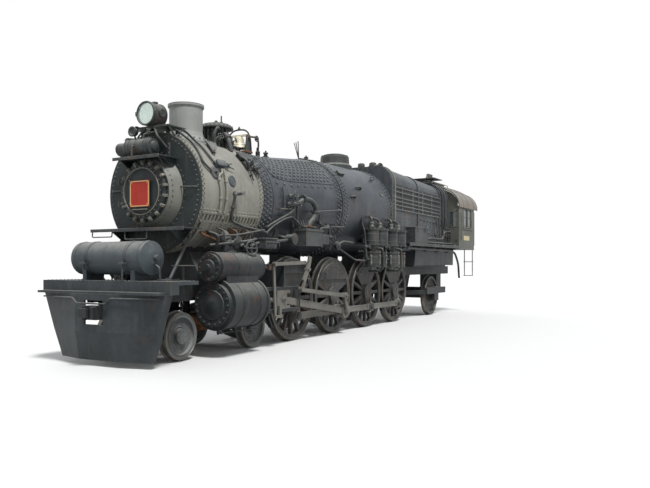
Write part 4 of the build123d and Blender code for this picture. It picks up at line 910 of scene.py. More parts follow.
    def flange(self, centre: Spot, axis: Spot, radius: float, thick: float, bolts: int = 6) -> None:
        """A pair of pipe flanges with their bolts."""
        centre, along = self.spot(centre), self.way(axis)
        gap = 0.06 * thick
        self.turned(centre, along, ((-thick, radius), (-gap, radius), (0.0, radius * 0.94), (gap, radius),
                                    (thick, radius)), 16)
        for sign in (-1, 1):
            self.circle(centre + along * sign * thick, along * sign, radius * 0.76, bolts, radius * 0.14,
                        Stud.NUT)

    def band(self, stops: Iterable[Pair], path: Callable[[float, float], Sequence[Spot]],
             closed: bool = True) -> None:
        """A thin band from four (station, lift) stops, each given as a row by a path."""
        self.skin([path(*stop) for stop in stops], closed, False, closed)

    def wrap(self, low: Pair, high: Pair, thick: float, steps: tuple[int, int] = (6, 10),
             sink: float = 0.006) -> None:
        """A plate bent over the boiler between two (station, angle) corners.

        Args:
            low: its front and lower corner.
            high: its rear and upper corner.
            thick: how far it stands over the boiler.
            steps: cells along and round.
            sink: how far its underside lies in the boiler's skin.
        """
        angles = [low[1] + (high[1] - low[1]) * k / steps[1] for k in range(steps[1] + 1)]
        stations = (low[0] + (high[0] - low[0]) * i / steps[0] for i in range(steps[0] + 1))
        self.skin([[self.on(s, a, thick) for a in angles] + [self.on(s, a, -sink) for a in angles[::-1]]
                   for s in stations])

    def build(self) -> None:
        """Makes the object and sets it on its body."""
        mesh = bpy.data.meshes.new(self.name)
        mesh.from_pydata([p[:] for p in self.points], [], self.faces)
        work = bmesh.new()
        work.from_mesh(mesh)
        bmesh.ops.recalc_face_normals(work, faces=work.faces)
        work.to_mesh(mesh)
        work.free()
        for finish in self.finishes:
            mesh.materials.append(finish.material())
        mesh.polygons.foreach_set("material_index", self.slots)
        mesh.shade_smooth()
        mesh.set_sharp_from_angle(angle=SHARP)
        piece = bpy.data.objects.new(self.name, mesh)
        bpy.context.scene.collection.objects.link(piece)
        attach(piece, self.body)
        triangles = sum(len(face) - 2 for face in self.faces)
        LOG.info("%s on %s, %d triangles", self.name, self.body, triangles)


@dataclass
class Dress:
    """What dresses one part of the engine. Its public methods are steps, run as they are written."""

    shapes: list[Shape] = field(default_factory=list, init=False)

    def shape(self, name: str, finish: Finish | Glass = FITTING_DARK, body: str = "engine",
              hand: int = 0) -> Shape:
        """Begins a piece, which is built when every step is done."""
        self.shapes.append(Shape(name, finish, body, hand))
        return self.shapes[-1]

    def pair(self, name: str, finish: Finish = FITTING_DARK) -> Iterator[Shape]:
        """Begins a piece on the left side and one on the right side, one after the other."""
        for hand, side in BOTH:
            yield self.shape(f"{name}_{side}", finish, hand=hand)

    def build(self) -> None:
        """Runs the steps and builds the pieces."""
        for name, step in vars(type(self)).items():
            if callable(step) and not name.startswith("_"):
                step(self)
        for shape in self.shapes:
            shape.build()


@dataclass
class SmokeboxDress(Dress):
    """Belts of rivets, flange seam, covers, conduit box and pipes of the smokebox."""

    band: float = 0.012
    belts: tuple[float, ...] = (0.018, 0.052, 1.812, 1.872)
    rivets: int = 84
    rivet: float = 0.021
    seam: float = -20.0
    seam_ends: Pair = (0.075, 1.785)
    ribs: int = 17
    pipe: float = 0.021

    def plates(self) -> None:
        """Rivet belts, the riveted flange seam and the ribs under it, on both sides."""
        work = self.shape("smokebox_rivets", RIVET_BROWN)
        for row, s in enumerate(self.belts):
            for i in range(self.rivets):
                work.head(s, -180 + 360 * (i + 0.5 * (row % 2)) / self.rivets, self.band, self.rivet)
        work.finish = SMOKE_GREY
        first, last = self.seam_ends
        for _ in work.sides():
            work.wrap((first, self.seam - 1.1), (last, self.seam + 0.9), 0.034, (8, 2))
            for i in range(18):
                s = first + 0.05 + (last - first - 0.1) * i / 17
                work.head(s, self.seam + 3.0, -0.001, self.rivet)
                work.head(s, self.seam, 0.033, 0.014, Stud.NUT)
            for i in range(self.ribs):
                s = first + 0.04 + (last - first - 0.11) * i / (self.ribs - 1)
                work.wrap((s, -27.5), (s + 0.022, self.seam - 1.1), 0.05, (1, 4))
            work.wrap((first, -29.2), (last, -27.5), 0.04, (8, 2))
            work.wrap((0.12, -62), (1.72, -29), 0.02, (6, 6))
            for s in (0.12, 0.42, 0.72, 1.02, 1.32, 1.66):
                work.wrap((s, -62), (s + 0.05, -29), 0.045, (1, 6))
            for k in range(22):
                work.head(0.16 + 1.54 * k / 21, -32, 0.018, 0.017)

    def covers(self) -> None:
        """The dark round covers and the pale ones with their bolts."""
        dark, pale = self.shape("smokebox_covers"), self.shape("smokebox_plugs", TANK_GREY)
        for pale.hand in dark.sides():
            dark.boss(0.42, 19, -0.01, ((0, 0.12), (0.02, 0.12), (0.024, 0.105), (0.034, 0.1),
                                       (0.04, 0.0)), 28)
            dark.boss(0.42, 19, 0.03, ((0, 0.03), (0.05, 0.03), (0.055, 0.018)), 6)
            pale.boss(0.91, 13.6, -0.01, ((0, 0.108), (0.024, 0.108), (0.028, 0.1), (0.028, 0.082),
                                          (0.022, 0.078), (0.026, 0.0)), 28)
            pale.circle(pale.on(0.91, 13.6, 0.018), pale.out(0.91, 13.6), 0.092, 10, 0.007)

    def conduit(self) -> None:
        """The junction box, its conduits up to the headlight and the pipes down the side."""
        box = self.shape("conduit_box", TANK_GREY)
        centre, out = SKIN.on(0.62, 28.0, 0.06), SKIN.out(0.62, 28.0)
        up, half = BACK.cross(out).normalized(), 0.13

        def on(x: float, y: float, lift: float) -> Vector:
            """A place on the box, in shares of half its length, height and depth."""
            return centre + BACK * half * x + up * 0.06 * y + out * 0.05 * lift

        corners = ((-1, -0.7), (-0.8, -1), (0.8, -1), (1, -0.7), (1, 0.7), (0.8, 1), (-0.8, 1), (-1, 0.7))
        box.skin([[on(x * scale, y * scale, lift) for x, y in corners]
                  for lift, scale in ((-1.2, 1.0), (0.6, 1.0), (0.7, 1.06), (0.9, 1.06), (1.0, 0.9))])
        for x, y in ((-0.8, -0.6), (0.8, -0.6), (0.8, 0.6), (-0.8, 0.6)):
            box.stud(on(x, y, 0.95), out, 0.008, Stud.BOLT)
        box.turned(on(1, 0, 0), BACK, ((0, 0.03), (0.07, 0.03), (0.07, 0.042), (0.1, 0.042)), 10)
        for dy in (-0.5, 0.5):
            start = on(1, 0, 0) + BACK * 0.09
            box.tube([start + BACK * x + up * y * dy for x, y in ((0, 0.02), (0.09, 0.09), (0.16, 0.12))],
                     0.012, 0.03, 8)
        pipes = self.shape("smokebox_pipes")
        pipes.tube([(0.1, -0.42, 4.162), (0.3, -0.47, 4.12),
                    *trail(((0.42, 58), (0.42, 40), (0.47, 31)), 0.04), on(-1, 0, 0)], self.pipe)
        pipes.tube([(-0.02, -0.4, 4.162), (0.1, -0.45, 4.1),
                    *trail(((0.24, 56), (0.13, 27), (0.3, 19.5)), 0.04)], self.pipe)
        grey = self.shape("smokebox_side_pipes", SMOKE_GREY)
        for start, end in (((0.47, 14.0), (0.53, -24.0)), ((0.67, 13.0), (0.66, -24.0))):
            grey.tube(trail((start, end), 0.045), self.pipe, 0.05)
            for share in (0.05, 0.5, 0.84):
                s, a = (p + (q - p) * share for p, q in zip(start, end))
                line = grey.on(s, a + 1, 0.045) - grey.on(s, a - 1, 0.045)
                grey.turned(grey.on(s, a, 0.045) - line * 0.6, line,
                            ((0, 0.03), (0.035, 0.034), (0.05, 0.03)), 10)
                grey.post(s, a, 0.04, 0.012)
        for stops in (((0.47, 14, 0.045), (0.5, 16.5, 0.05), (0.6, 19, 0.05), (0.62, 23, 0.05)),
                      ((0.67, 13, 0.045), (0.67, 18, 0.05), (0.66, 23, 0.06))):
            grey.tube([grey.on(*stop) for stop in stops], self.pipe, 0.05)

    def blower(self) -> None:
        """The blower valve on the left side with its dark pipe running rearward."""
        work = self.shape("blower_pipe")
        foot, out = SKIN.on(0.95, 0.7), SKIN.out(0.95, 0.7)
        work.turned(foot - out * 0.01, out, ((0, 0.055), (0.02, 0.055), (0.02, 0.03), (0.11, 0.03)), 12)
        work.valve(foot + out * 0.11, BACK, out, 0.032)
        work.tube([foot + out * 0.1, foot + out * 0.1 + Vector((-0.1, 0, -0.02)),
                   *trail(((0.85, -7), (0.86, -18), (0.9, -25)), 0.07),
                   *trail(((1.3, -29), (1.8, -31.5), (2.15, -33.5)), 0.09)], 0.027, 0.1)
        work.flange(SKIN.on(0.86, -12, 0.07), (0, 0.1, 1), 0.05, 0.016, 4)
        work.post(0.87, -20.0, 0.09, 0.014)
        work.post(1.55, -30.2, 0.09, 0.014)

    def bracket(self) -> None:
        """The hoods over the rear brackets, and the brackets with their valves."""
        hood, arm = self.shape("smokebox_hood", FRONT_GREEN), self.shape("smokebox_rear_bracket")
        for arm.hand in hood.sides():
            hood.wrap((1.5, 42), (1.78, 50), 0.07, (3, 3), 0.0)
            hood.wrap((1.47, 41.5), (1.81, 50.5), 0.09, (3, 3), -0.066)
            arm.tube([arm.on(*stop) for stop in ((1.52, 43, 0.08), (1.5, 38, 0.12), (1.52, 33, 0.12),
                                                 (1.56, 30, 0.04))], 0.03, 0.05)
            foot = arm.on(1.66, 36, 0.08)
            arm.valve(foot, arm.on(1.8, 36, 0.08) - foot, arm.out(1.6, 34), 0.05)
            arm.valve(arm.on(1.76, 30, 0.08), arm.on(1.76, 36, 0.08) - arm.on(1.76, 28, 0.08),
                      arm.out(1.6, 20), 0.04)
            arm.bar(arm.on(1.56, 30, 0.06), arm.on(1.58, 17, 0.05), 0.016, 8)
            arm.bar(arm.on(1.84, 33, 0.06), arm.on(1.84, 24, 0.05), 0.016, 8)
            arm.post(1.57, 23, 0.07, 0.02)
            arm.post(1.84, 27, 0.07, 0.02)
            arm.wrap((1.52, 30), (1.86, 40), 0.035, (2, 3))

    def patches(self) -> None:
        """The plates under the seam whose paint has gone, left to rust."""
        work = self.shape("smokebox_rusted_plates", RUST)
        for (s0, a0), (s1, a1) in (((1.45, -38.5), (1.7, -31.5)), ((1.36, -58), (1.6, -50)),
                                   ((0.95, -52), (1.2, -47))):
            work.wrap((s0, a0), (s1, a1), 0.006, (3, 3))
            for s in (s0 + 0.03, s1 - 0.03):
                for a in (a0 + 1, a1 - 1):
                    work.head(s, a, 0.005, 0.012)


@dataclass
class FrontDress(Dress):
    """The smokebox front: rivets, door clamps, plate border, shelves and foot plates.

    Args:
        face: station of the front ring's face.
        drum_face: station of the drum's rim.
        door_face: station of the door's face.
        axle: height of the boiler's middle.
        clamp: reach, half width, and lowest and highest lift of a clamp along its length.
    """

    face: float = -0.029
    drum_face: float = -0.2656
    door_face: float = -0.351
    axle: float = 2.98
    clamp: tuple[tuple[float, float, float, float], ...] = (
        (0.478, 0.02, 0.042, 0.052), (0.5, 0.027, 0.042, 0.072), (0.548, 0.027, 0.001, 0.072),
        (0.566, 0.02, 0.001, 0.05))

    def ring(self) -> None:
        """Rivets round the front ring, the drum's paler skin of dust and painted sunlight, and the nuts at
        its foot and rim.
        """
        work = self.shape("front_ring_rivets", FRONT_RIVET)
        foot = at(self.face, 0, self.axle)
        work.circle(foot, FORWARD, 1.035, 72, 0.019, Stud.RIVET)
        work.circle(foot, FORWARD, 0.74, 40, 0.016, Stud.NUT, 3.0)
        work.circle(at(self.drum_face + 0.001, 0, self.axle), FORWARD, 0.561, 40, 0.008, Stud.NUT)
        for out in ring(Vector(), RIGHT, UP, 1.0, 40):
            work.stud(at(-0.2, 0, self.axle) + out * 0.604, out + FORWARD * 0.45, 0.013, Stud.NUT)
        # A paler sleeve over the drum: painted sunlight on its side, with dust.
        drum = self.shape("door_drum_skin", DRUM_GREY)
        drum.turned(foot, FORWARD, ((0, 0.6925), (0.2335, 0.5736), (0.2335, 0.56), (0, 0.68)), 72, True)

    def clamps(self) -> None:
        """The clamps that bridge the drum's rim and the door, the door's ring, its nuts and handle."""
        work = self.shape("door_clamps", CLAMP_GREY, "smokebox_door")
        centre = at(self.drum_face, 0, self.axle)
        for a in (tau * (i + 0.5) / 18 for i in range(18)):
            if cos(a) > 0.9:
                continue
            out, side = Vector((0, cos(a), sin(a))), Vector((0, -sin(a), cos(a)))
            work.skin([[centre + out * reach + side * wide * sign + FORWARD * lift
                        for sign, lift in ((1, low), (1, high), (-1, high), (-1, low))]
                       for reach, wide, low, high in self.clamp])
            work.stud(centre + FORWARD * 0.071 + out * 0.522, FORWARD, 0.022, Stud.NUT)
        door = at(self.door_face, 0, self.axle)
        work.hoop(door + FORWARD * 0.004, FORWARD, 0.42, 0.011, 56, 8)
        work.circle(door - FORWARD * 0.002, FORWARD, 0.452, 30, 0.01, Stud.RIVET)
        handle = self.shape("door_handle", ROD_STEEL, "smokebox_door")
        handle.tube([(self.door_face - lift, y, self.axle - 0.33)
                     for y, lift in ((-0.17, 0), (-0.17, 0.06), (0.17, 0.06), (0.17, 0))], 0.012, 0.03)
        for h in (self.axle - 0.2, self.axle + 0.2):
            for y in (0.27, 0.36, 0.46):
                handle.stud((self.door_face - 0.002, y, h), FORWARD, 0.017, Stud.NUT)

    def plate(self) -> None:
        """The raised border and screws of the blank red plate."""
        work = self.shape("front_plate_border", PLATE_GOLD, "smokebox_door")
        (face, _, base), (_, half, top) = span("front_plate")
        corner, edge, wide = 0.05, 0.006, 0.018
        side, high, low = half - corner, top - corner, base + corner

        def line(depth: float, inset: float) -> list[Place]:
            """The border's line at a depth, its corners drawn in by an inset."""
            reach = corner - inset
            return [(face + depth, y + cos(radians(a)) * reach, h + sin(radians(a)) * reach)
                    for y, h, begin in ((side, high, 0), (-side, high, 90), (-side, low, 180),
                                        (side, low, 270))
                    for a in range(begin, begin + 91, 18)]

        work.band(((0.002, edge), (-0.007, edge), (-0.007, edge + wide), (0.002, edge + wide)), line)
        for y in (-side, side):
            for h in (low, high):
                work.stud((face, y, h), FORWARD, 0.009, Stud.CAP)

    def shelves(self) -> None:
        """Nosings, loops and stays of the two shelves."""
        work = self.shape("shelf_trim")
        for half, h in ((1.11, 2.291), (0.555, 3.571)):
            work.block((-0.506, -half, h - 0.032), (-0.494, half, h + 0.026), 0.003)
            work.studs((-0.506, 0.05 - half, h - 0.004), (-0.506, half - 0.05, h - 0.004),
                       int(2 * half / 0.12), FORWARD, 0.008)
        for y, half, drop in ((0.0, 0.26, 0.17), (0.83, 0.25, 0.12)):
            work.tube([(-0.48, y - half, 2.285), (-0.49, y - half, 2.29 - drop),
                       (-0.49, y + half, 2.29 - drop), (-0.48, y + half, 2.285)], 0.011, 0.03, 8)
        for _ in work.sides():
            work.block((-0.045, 0.342, 3.32), (-0.029, 0.398, 3.86), 0.004)
            work.studs((-0.046, 0.37, 3.6), (-0.046, 0.37, 3.84), 4, FORWARD, 0.016, Stud.NUT)
            work.tube([(-0.4, 0.4625, 3.565), (-0.08, 0.407, 3.3), (-0.03, 0.37, 3.26)], 0.014, 0.04)
            work.tube([(-0.06, 0.66, 3.06), (-0.09, 0.75, 3.05), (-0.09, 0.98, 3.04), (-0.03, 1.03, 3.04)],
                      0.014, 0.03, 8)

    def feet(self) -> None:
        """The foot plates of the brace rods, with their nuts."""
        foot = self.shape("brace_foot_plates")
        for _ in foot.sides():
            foot.block((-0.8, 0.78, 1.398), (-0.45, 1.0, 1.42), 0.006)
            foot.block((-0.74, 1.04, 1.642), (-0.36, 1.26, 1.66))
            foot.bar((-0.55, 1.14, 1.38), (-0.55, 1.14, 1.65), 0.022, 8)
            for s in (-0.77, -0.48):
                for y in (0.82, 0.97):
                    foot.stud((s, y, 1.418), UP, 0.018, Stud.NUT)


@dataclass
class LampDress(Dress):
    """Headlight fittings, marker lamp dish and the generator's details."""

    height: float = 4.4
    shelf: float = 3.57

    def headlight(self) -> None:
        """Rim, hinge, second ring, side bosses, legs' stays and the reflector inside."""
        work, h = self.shape("headlight_trim"), self.height
        for s, reach, radius, sides in ((-0.24, 0.205, 0.019, 8), (-0.16, 0.212, 0.01, 6),
                                        (0.085, 0.213, 0.014, 6)):
            work.hoop((s, 0, h), FORWARD, reach, radius, 48, sides)
        work.turned((0.0, 0, h + 0.195), UP, ((0, 0.05), (0.03, 0.046), (0.034, 0.062), (0.05, 0.056),
                                              (0.06, 0.03)), 16)
        work.block((-0.157, -0.475, 4.148), (-0.145, 0.475, 4.182), 0.003)
        for s in (-0.12, 0.27):
            work.studs((s, -0.44, 4.174), (s, 0.44, 4.174), 10, UP, 0.011, Stud.BOLT)
        for hand in work.sides():
            work.turned((-0.04, 0.195, h + 0.02), OUT, ((0, 0.085), (0.03, 0.085), (0.036, 0.075),
                                                        (0.036, 0.05), (0.028, 0.046), (0.034, 0.0)), 20)
            work.circle((-0.04, 0.228, h + 0.02), OUT, 0.066, 6, 0.008)
            y = hand * 0.222
            work.block(at(-0.265, y - 0.02, h - 0.04), at(-0.225, y + 0.012, h + 0.04), 0.006)
            for s0, s1 in ((-0.12, -0.02), (0.26, 0.1)):
                work.tube([(s0, 0.44, 4.155), (s1, 0.46, 4.02), (0.03, 0.47, 3.98)], 0.017, 0.04, 8)
            work.tube([(-0.13, 0.1, 4.16), (-0.2, 0.24, 3.98), (-0.06, 0.34, 3.78)], 0.018, 0.06, 8)
        bowl = self.shape("headlight_reflector", REFLECTOR)
        bowl.skin([ring(at(reach - 0.2245, 0, h), RIGHT, UP, radius, 40) for reach, radius in (
            (0.0, 0.188), (0.004, 0.186), (0.0015, 0.13), (0.001, 0.06), (0.0, 0.004))])

    def dish(self) -> None:
        """The round marker lamp that hangs from the platform's front edge."""
        work = self.shape("marker_lamp")
        work.tube([(-0.1, 0.29, 4.182), (-0.18, 0.29, 4.19), (-0.21, 0.29, 4.16), (-0.21, 0.29, 4.09)],
                  0.018, 0.03, 8)
        work.turned((-0.17, 0.29, 4.09), FORWARD, ((0, 0.02), (0.02, 0.07), (0.1, 0.082), (0.1, 0.094),
                                                   (0.12, 0.094), (0.12, 0.07), (0.1, 0.05)), 20)

    def generator(self) -> None:
        """Ribs, end bells, feet bolts and pipes of the turbo generator."""
        work = self.shape("generator_details")
        (_, first, _), (_, last, top) = span("generator")
        heart, first, join, s = top - 0.16, first + 0.055, last - 0.21, -0.27
        for y in (first + 0.04, first + 0.1, first + 0.3, join - 0.1, join - 0.02):
            work.hoop((s, y, heart), RIGHT, 0.164, 0.009, 36, 6)
        work.turned((s, last - 0.01, heart), RIGHT, ((0, 0.122), (0.03, 0.118), (0.055, 0.09), (0.07, 0.05),
                                                     (0.075, 0.0)))
        work.turned((s, first, heart), LEFT, ((0, 0.15), (0.03, 0.15), (0.04, 0.1), (0.08, 0.085),
                                              (0.1, 0.04)))
        work.circle((s, first - 0.03, heart), LEFT, 0.128, 8, 0.012)
        work.circle((s, join + 0.001, heart), RIGHT, 0.14, 10, 0.01)
        work.tube([(s, 0.02, heart + 0.15), (s, 0.02, heart + 0.24), (-0.12, -0.1, heart + 0.3),
                   (0.05, -0.34, 4.03)], 0.022, 0.06)
        work.tube([(-0.4, 0.1, heart), (-0.47, 0.1, heart + 0.02), (-0.48, 0.1, 3.6)], 0.018, 0.05)
        work.tube([(s, 0.46, heart + 0.11), (s, 0.46, heart + 0.2), (0.02, 0.4, 4.0)], 0.016, 0.06)
        work.valve((-0.2, -0.03, heart + 0.26), (1, -0.4, 0.2), (-0.3, -0.4, 1), 0.03)
        for y in (first + 0.06, first + 0.14, join - 0.1, join - 0.02):
            for s in (-0.345, -0.195):
                work.stud((s, y, self.shelf + 0.1), UP, 0.014, Stud.NUT)


@dataclass
class TopDress(Dress):
    """Details of what stands on the boiler: stack, feed-water drum, bell, dome and safety valves."""

    stack: float = 0.86
    drum: float = 1.8
    bell: float = 2.6
    dome: float = 7.0

    def stack_trim(self) -> None:
        """Beads and base bolts of the stack, and the slotted plates beside it."""
        work, plates = self.shape("stack_trim", STACK_GREY), self.shape("stack_wedge")
        work.hoop((self.stack, 0, 4.7), UP, 0.33, 0.01, 56, 6)
        for a in (tau * (i + 0.5) / 20 for i in range(20)):
            work.stud((self.stack + cos(a) * 0.388, sin(a) * 0.388, 4.081), (cos(a), sin(a), 1.2), 0.022,
                      Stud.NUT)
        plates.hoop((self.stack, 0, 4.75), UP, 0.341, 0.009, 56, 6)
        corners = ((0.85, 66), (1.16, 66), (1.0, 57), (0.82, 48), (0.66, 41.5), (0.62, 43), (0.7, 54))
        for _ in plates.sides():
            plates.skin([[plates.on(s, a, lift) for s, a in corners] for lift in (0.05, 0.075)])
            for s, a in ((0.92, 64), (1.06, 64), (0.68, 44.5)):
                place = plates.on(s, a, -0.01)
                plates.bar(place, place + plates.out(s, a) * 0.1, 0.018, 8)

    def drum_trim(self) -> None:
        """Lid nuts, whistle rod, bolts, valves and the tangle of pipes round the feed-water drum."""
        work = self.shape("feed_drum_details")
        s0, top = self.drum, span("feedwater_drum")[1][2]
        lid = top - 0.11
        for a in (tau * i / 22 for i in range(22)):
            work.stud((s0 + cos(a) * 0.325, sin(a) * 0.325, lid + 0.017), (cos(a), sin(a), 1.2), 0.016,
                      Stud.NUT)
        work.hoop((s0, 0, lid - 0.018), UP, 0.349, 0.008, 56, 6)
        work.turned((s0, 0, top - 0.005), UP, ((0, 0.06), (0.02, 0.06), (0.025, 0.03), (0.05, 0.026)), 12)
        work.bar((s0 + 0.12, -0.04, top - 0.02), (s0 + 0.12, -0.04, 4.755), 0.014, 8)
        work.turned((s0 + 0.12, -0.04, top - 0.02), UP, ((0, 0.04), (0.05, 0.036), (0.06, 0.014)), 10)
        for a in (radians(a) for a in (186, 206, 226, 246, 266, 286, 306, 330)):
            s, y = s0 + sin(a) * 0.275, cos(a) * 0.275
            work.bar((s, y, 4.0), (s, y, lid - 0.04), 0.02, 8)
            work.turned((s, y, 4.14), UP, ((0, 0.034), (0.05, 0.034)), 6)
            work.turned((s, y, lid - 0.1), UP, ((0, 0.03), (0.04, 0.03)), 6)
        work.turned((s0 - 0.02, -0.25, 4.24), LEFT, ((0, 0.08), (0.06, 0.08), (0.06, 0.1), (0.085, 0.1),
                                                     (0.09, 0.05), (0.12, 0.035)), 14)
        work.circle((s0 - 0.02, -0.334, 4.24), LEFT, 0.08, 6, 0.012)
        pipes = (
            (0.045, 0.08, ((-0.1, 0.26, 4.3), (-0.2, 0.4, 4.3), (-0.24, 0.5, 4.16), (-0.24, 0.56, 3.92))),
            (0.03, 0.07, ((-0.46, 0.34, 4.0), (-0.5, 0.34, 4.26), (-0.42, 0.36, 4.4), (-0.3, 0.32, 4.38),
                          (-0.18, 0.2, 4.28))),
            (0.026, 0.05, ((0.02, 0.25, 4.06), (0.04, 0.4, 4.08), (0.14, 0.42, 4.08), (0.2, 0.4, 4.02),
                           (0.22, 0.4, 3.92))),
            (0.028, 0.05, ((0.2, 0.14, 4.3), (0.3, 0.15, 4.3), (0.34, 0.17, 4.22), (0.35, 0.2, 4.02))))
        for _ in work.sides():
            for radius, bend, path in pipes:
                work.tube([(s0 + s, y, h) for s, y, h in path], radius, bend)
            work.flange((s0 - 0.22, 0.46, 4.22), (0, 0.5, -1), 0.075, 0.018)
            work.flange((s0 + 0.28, 0.15, 4.3), BACK, 0.05, 0.014)
            work.valve((s0 - 0.36, 0.3, 4.16), (1, 0, 0.1), (-0.3, 1, 0.5), 0.05)
            work.valve((s0 - 0.06, 0.4, 4.14), (1, 0, 0.3), (0.3, 1, 0.4), 0.045)

    def bell_trim(self) -> None:
        """Lip beads and clapper of the bell, and what holds and rings it."""
        work = self.shape("bell_details", BELL_CREAM, "bell")
        clapper = self.shape("bell_clapper", body="bell")
        s, low = self.bell, span("bell")[0][2]
        work.hoop((s, 0, low + 0.012), UP, 0.18, 0.008, 40, 6)
        work.hoop((s, 0, low + 0.075), UP, 0.146, 0.004, 40, 6)
        clapper.bar((s, 0, low + 0.1), (s, 0, low - 0.01), 0.012, 8)
        clapper.turned((s, 0, low - 0.045), UP,
                       ((0, 0.012), (0.015, 0.034), (0.05, 0.036), (0.07, 0.012)), 12)
        yoke, arm = self.shape("bell_yoke_details", RUST), self.shape("bell_ringer")
        yoke.block((s - 0.13, -0.27, 4.07), (s + 0.13, 0.27, 4.112), 0.005)
        for arm.hand in yoke.sides():
            yoke.turned((s, 0.25, 4.42), OUT,
                        ((0, 0.045), (0.02, 0.045), (0.026, 0.026), (0.04, 0.026)), 12)
            for ds in (-0.075, 0.075):
                yoke.stud((s + ds, 0.17, 4.1), UP, 0.02, Stud.NUT)
            for ds in (-0.06, 0.06):
                arm.tube([(s + ds * 1.6, 0.252, 4.1), (s + ds, 0.255, 4.36), (s + ds * 0.3, 0.256, 4.45)],
                         0.017, 0.04, 8)
        arm.tube([(s, -0.253, 4.4), (s, -0.25, 4.5), (s, -0.15, 4.575), (s, 0, 4.59), (s, 0.15, 4.575),
                  (s, 0.25, 4.5), (s, 0.253, 4.4)], 0.019, 0.07, 8)
        arm.turned((s, 0, 4.59), UP, ((0, 0.034), (0.03, 0.03), (0.034, 0.016), (0.062, 0.016)), 10)
        arm.tube([(s + 0.02, -0.26, 4.42), (s + 0.1, -0.31, 4.42), (s + 0.24, -0.31, 4.44),
                  (s + 0.3, -0.3, 4.32), (s + 0.3, -0.28, 4.03)], 0.02, 0.04)
        arm.turned((s + 0.3, -0.28, 4.02), UP, ((0, 0.05), (0.12, 0.05), (0.13, 0.03), (0.2, 0.03)), 12)
        arm.hoop((s + 0.2, -0.32, 4.4), RIGHT, 0.055, 0.016, 18, 6)
        arm.turned((s + 0.2, -0.29, 4.4), LEFT, ((0, 0.03), (0.05, 0.03), (0.06, 0.02)), 10)
        arm.bar((s + 0.27, -0.32, 4.42), (s + 0.27, -0.32, 4.18), 0.011, 8)

    def dome_trim(self) -> None:
        """Nuts round the dome's cover, foot rivets, seam lines and the pipe behind it."""
        work, s, top = self.shape("dome_details"), self.dome, span("steam_dome")[1][2]
        work.circle((s, 0, top - 0.062), UP, 0.352, 22, 0.024, Stud.NUT)
        work.hoop((s, 0, top - 0.075), UP, 0.372, 0.013, 56, 6)
        work.circle((s, 0, top - 0.001), UP, 0.2, 12, 0.015)
        for reach in (0.44, 0.415):
            for a in (tau * i / 34 for i in range(34)):
                work.stud((s + cos(a) * reach, sin(a) * reach, 4.342 + (0.44 - reach) * 0.6),
                          (cos(a) * 0.4, sin(a) * 0.4, 1), 0.014)
        work.tube([(s + 0.36, -0.05, 4.44), (s + 0.62, -0.06, 4.44), (s + 0.7, -0.06, 4.33)], 0.032, 0.06)
        work.flange((s + 0.5, -0.056, 4.44), BACK, 0.055, 0.014)

    def valve_trim(self) -> None:
        """Rings and nuts of the safety valves, and what stands ahead of them."""
        work, caps = self.shape("safety_valve_details", FITTING_PALE), self.shape("boiler_top_plugs")
        for s, y in SAFETY_VALVES:
            low = span("boiler_fittings")[1][2] - 0.31 - (s - SAFETY_VALVES[0][0]) * 0.03
            work.circle((s, y, low + 0.04), UP, 0.104, 8, 0.014, Stud.NUT)
            for lift in (0.17, 0.24):
                work.hoop((s, y, low + lift), UP, 0.105, 0.008, 28, 6)
        for s, a in ((3.45, 84), (5.5, 91), (8.35, 96), (8.62, 82)):
            caps.boss(s, a, -0.005, ((0, 0.075), (0.02, 0.075), (0.022, 0.045), (0.07, 0.042),
                                     (0.075, 0.06), (0.11, 0.056), (0.115, 0.02), (0.15, 0.018)), 12)
            out = SKIN.out(s, a)
            caps.circle(SKIN.on(s, a, -0.005) + out * 0.019, out, 0.06, 6, 0.01)
        for lean in (-0.1, 0.02, 0.12):
            caps.bar(SKIN.on(5.1, 90, -0.01), (4.98 + lean * 0.8, lean, 4.7), 0.011, 6)


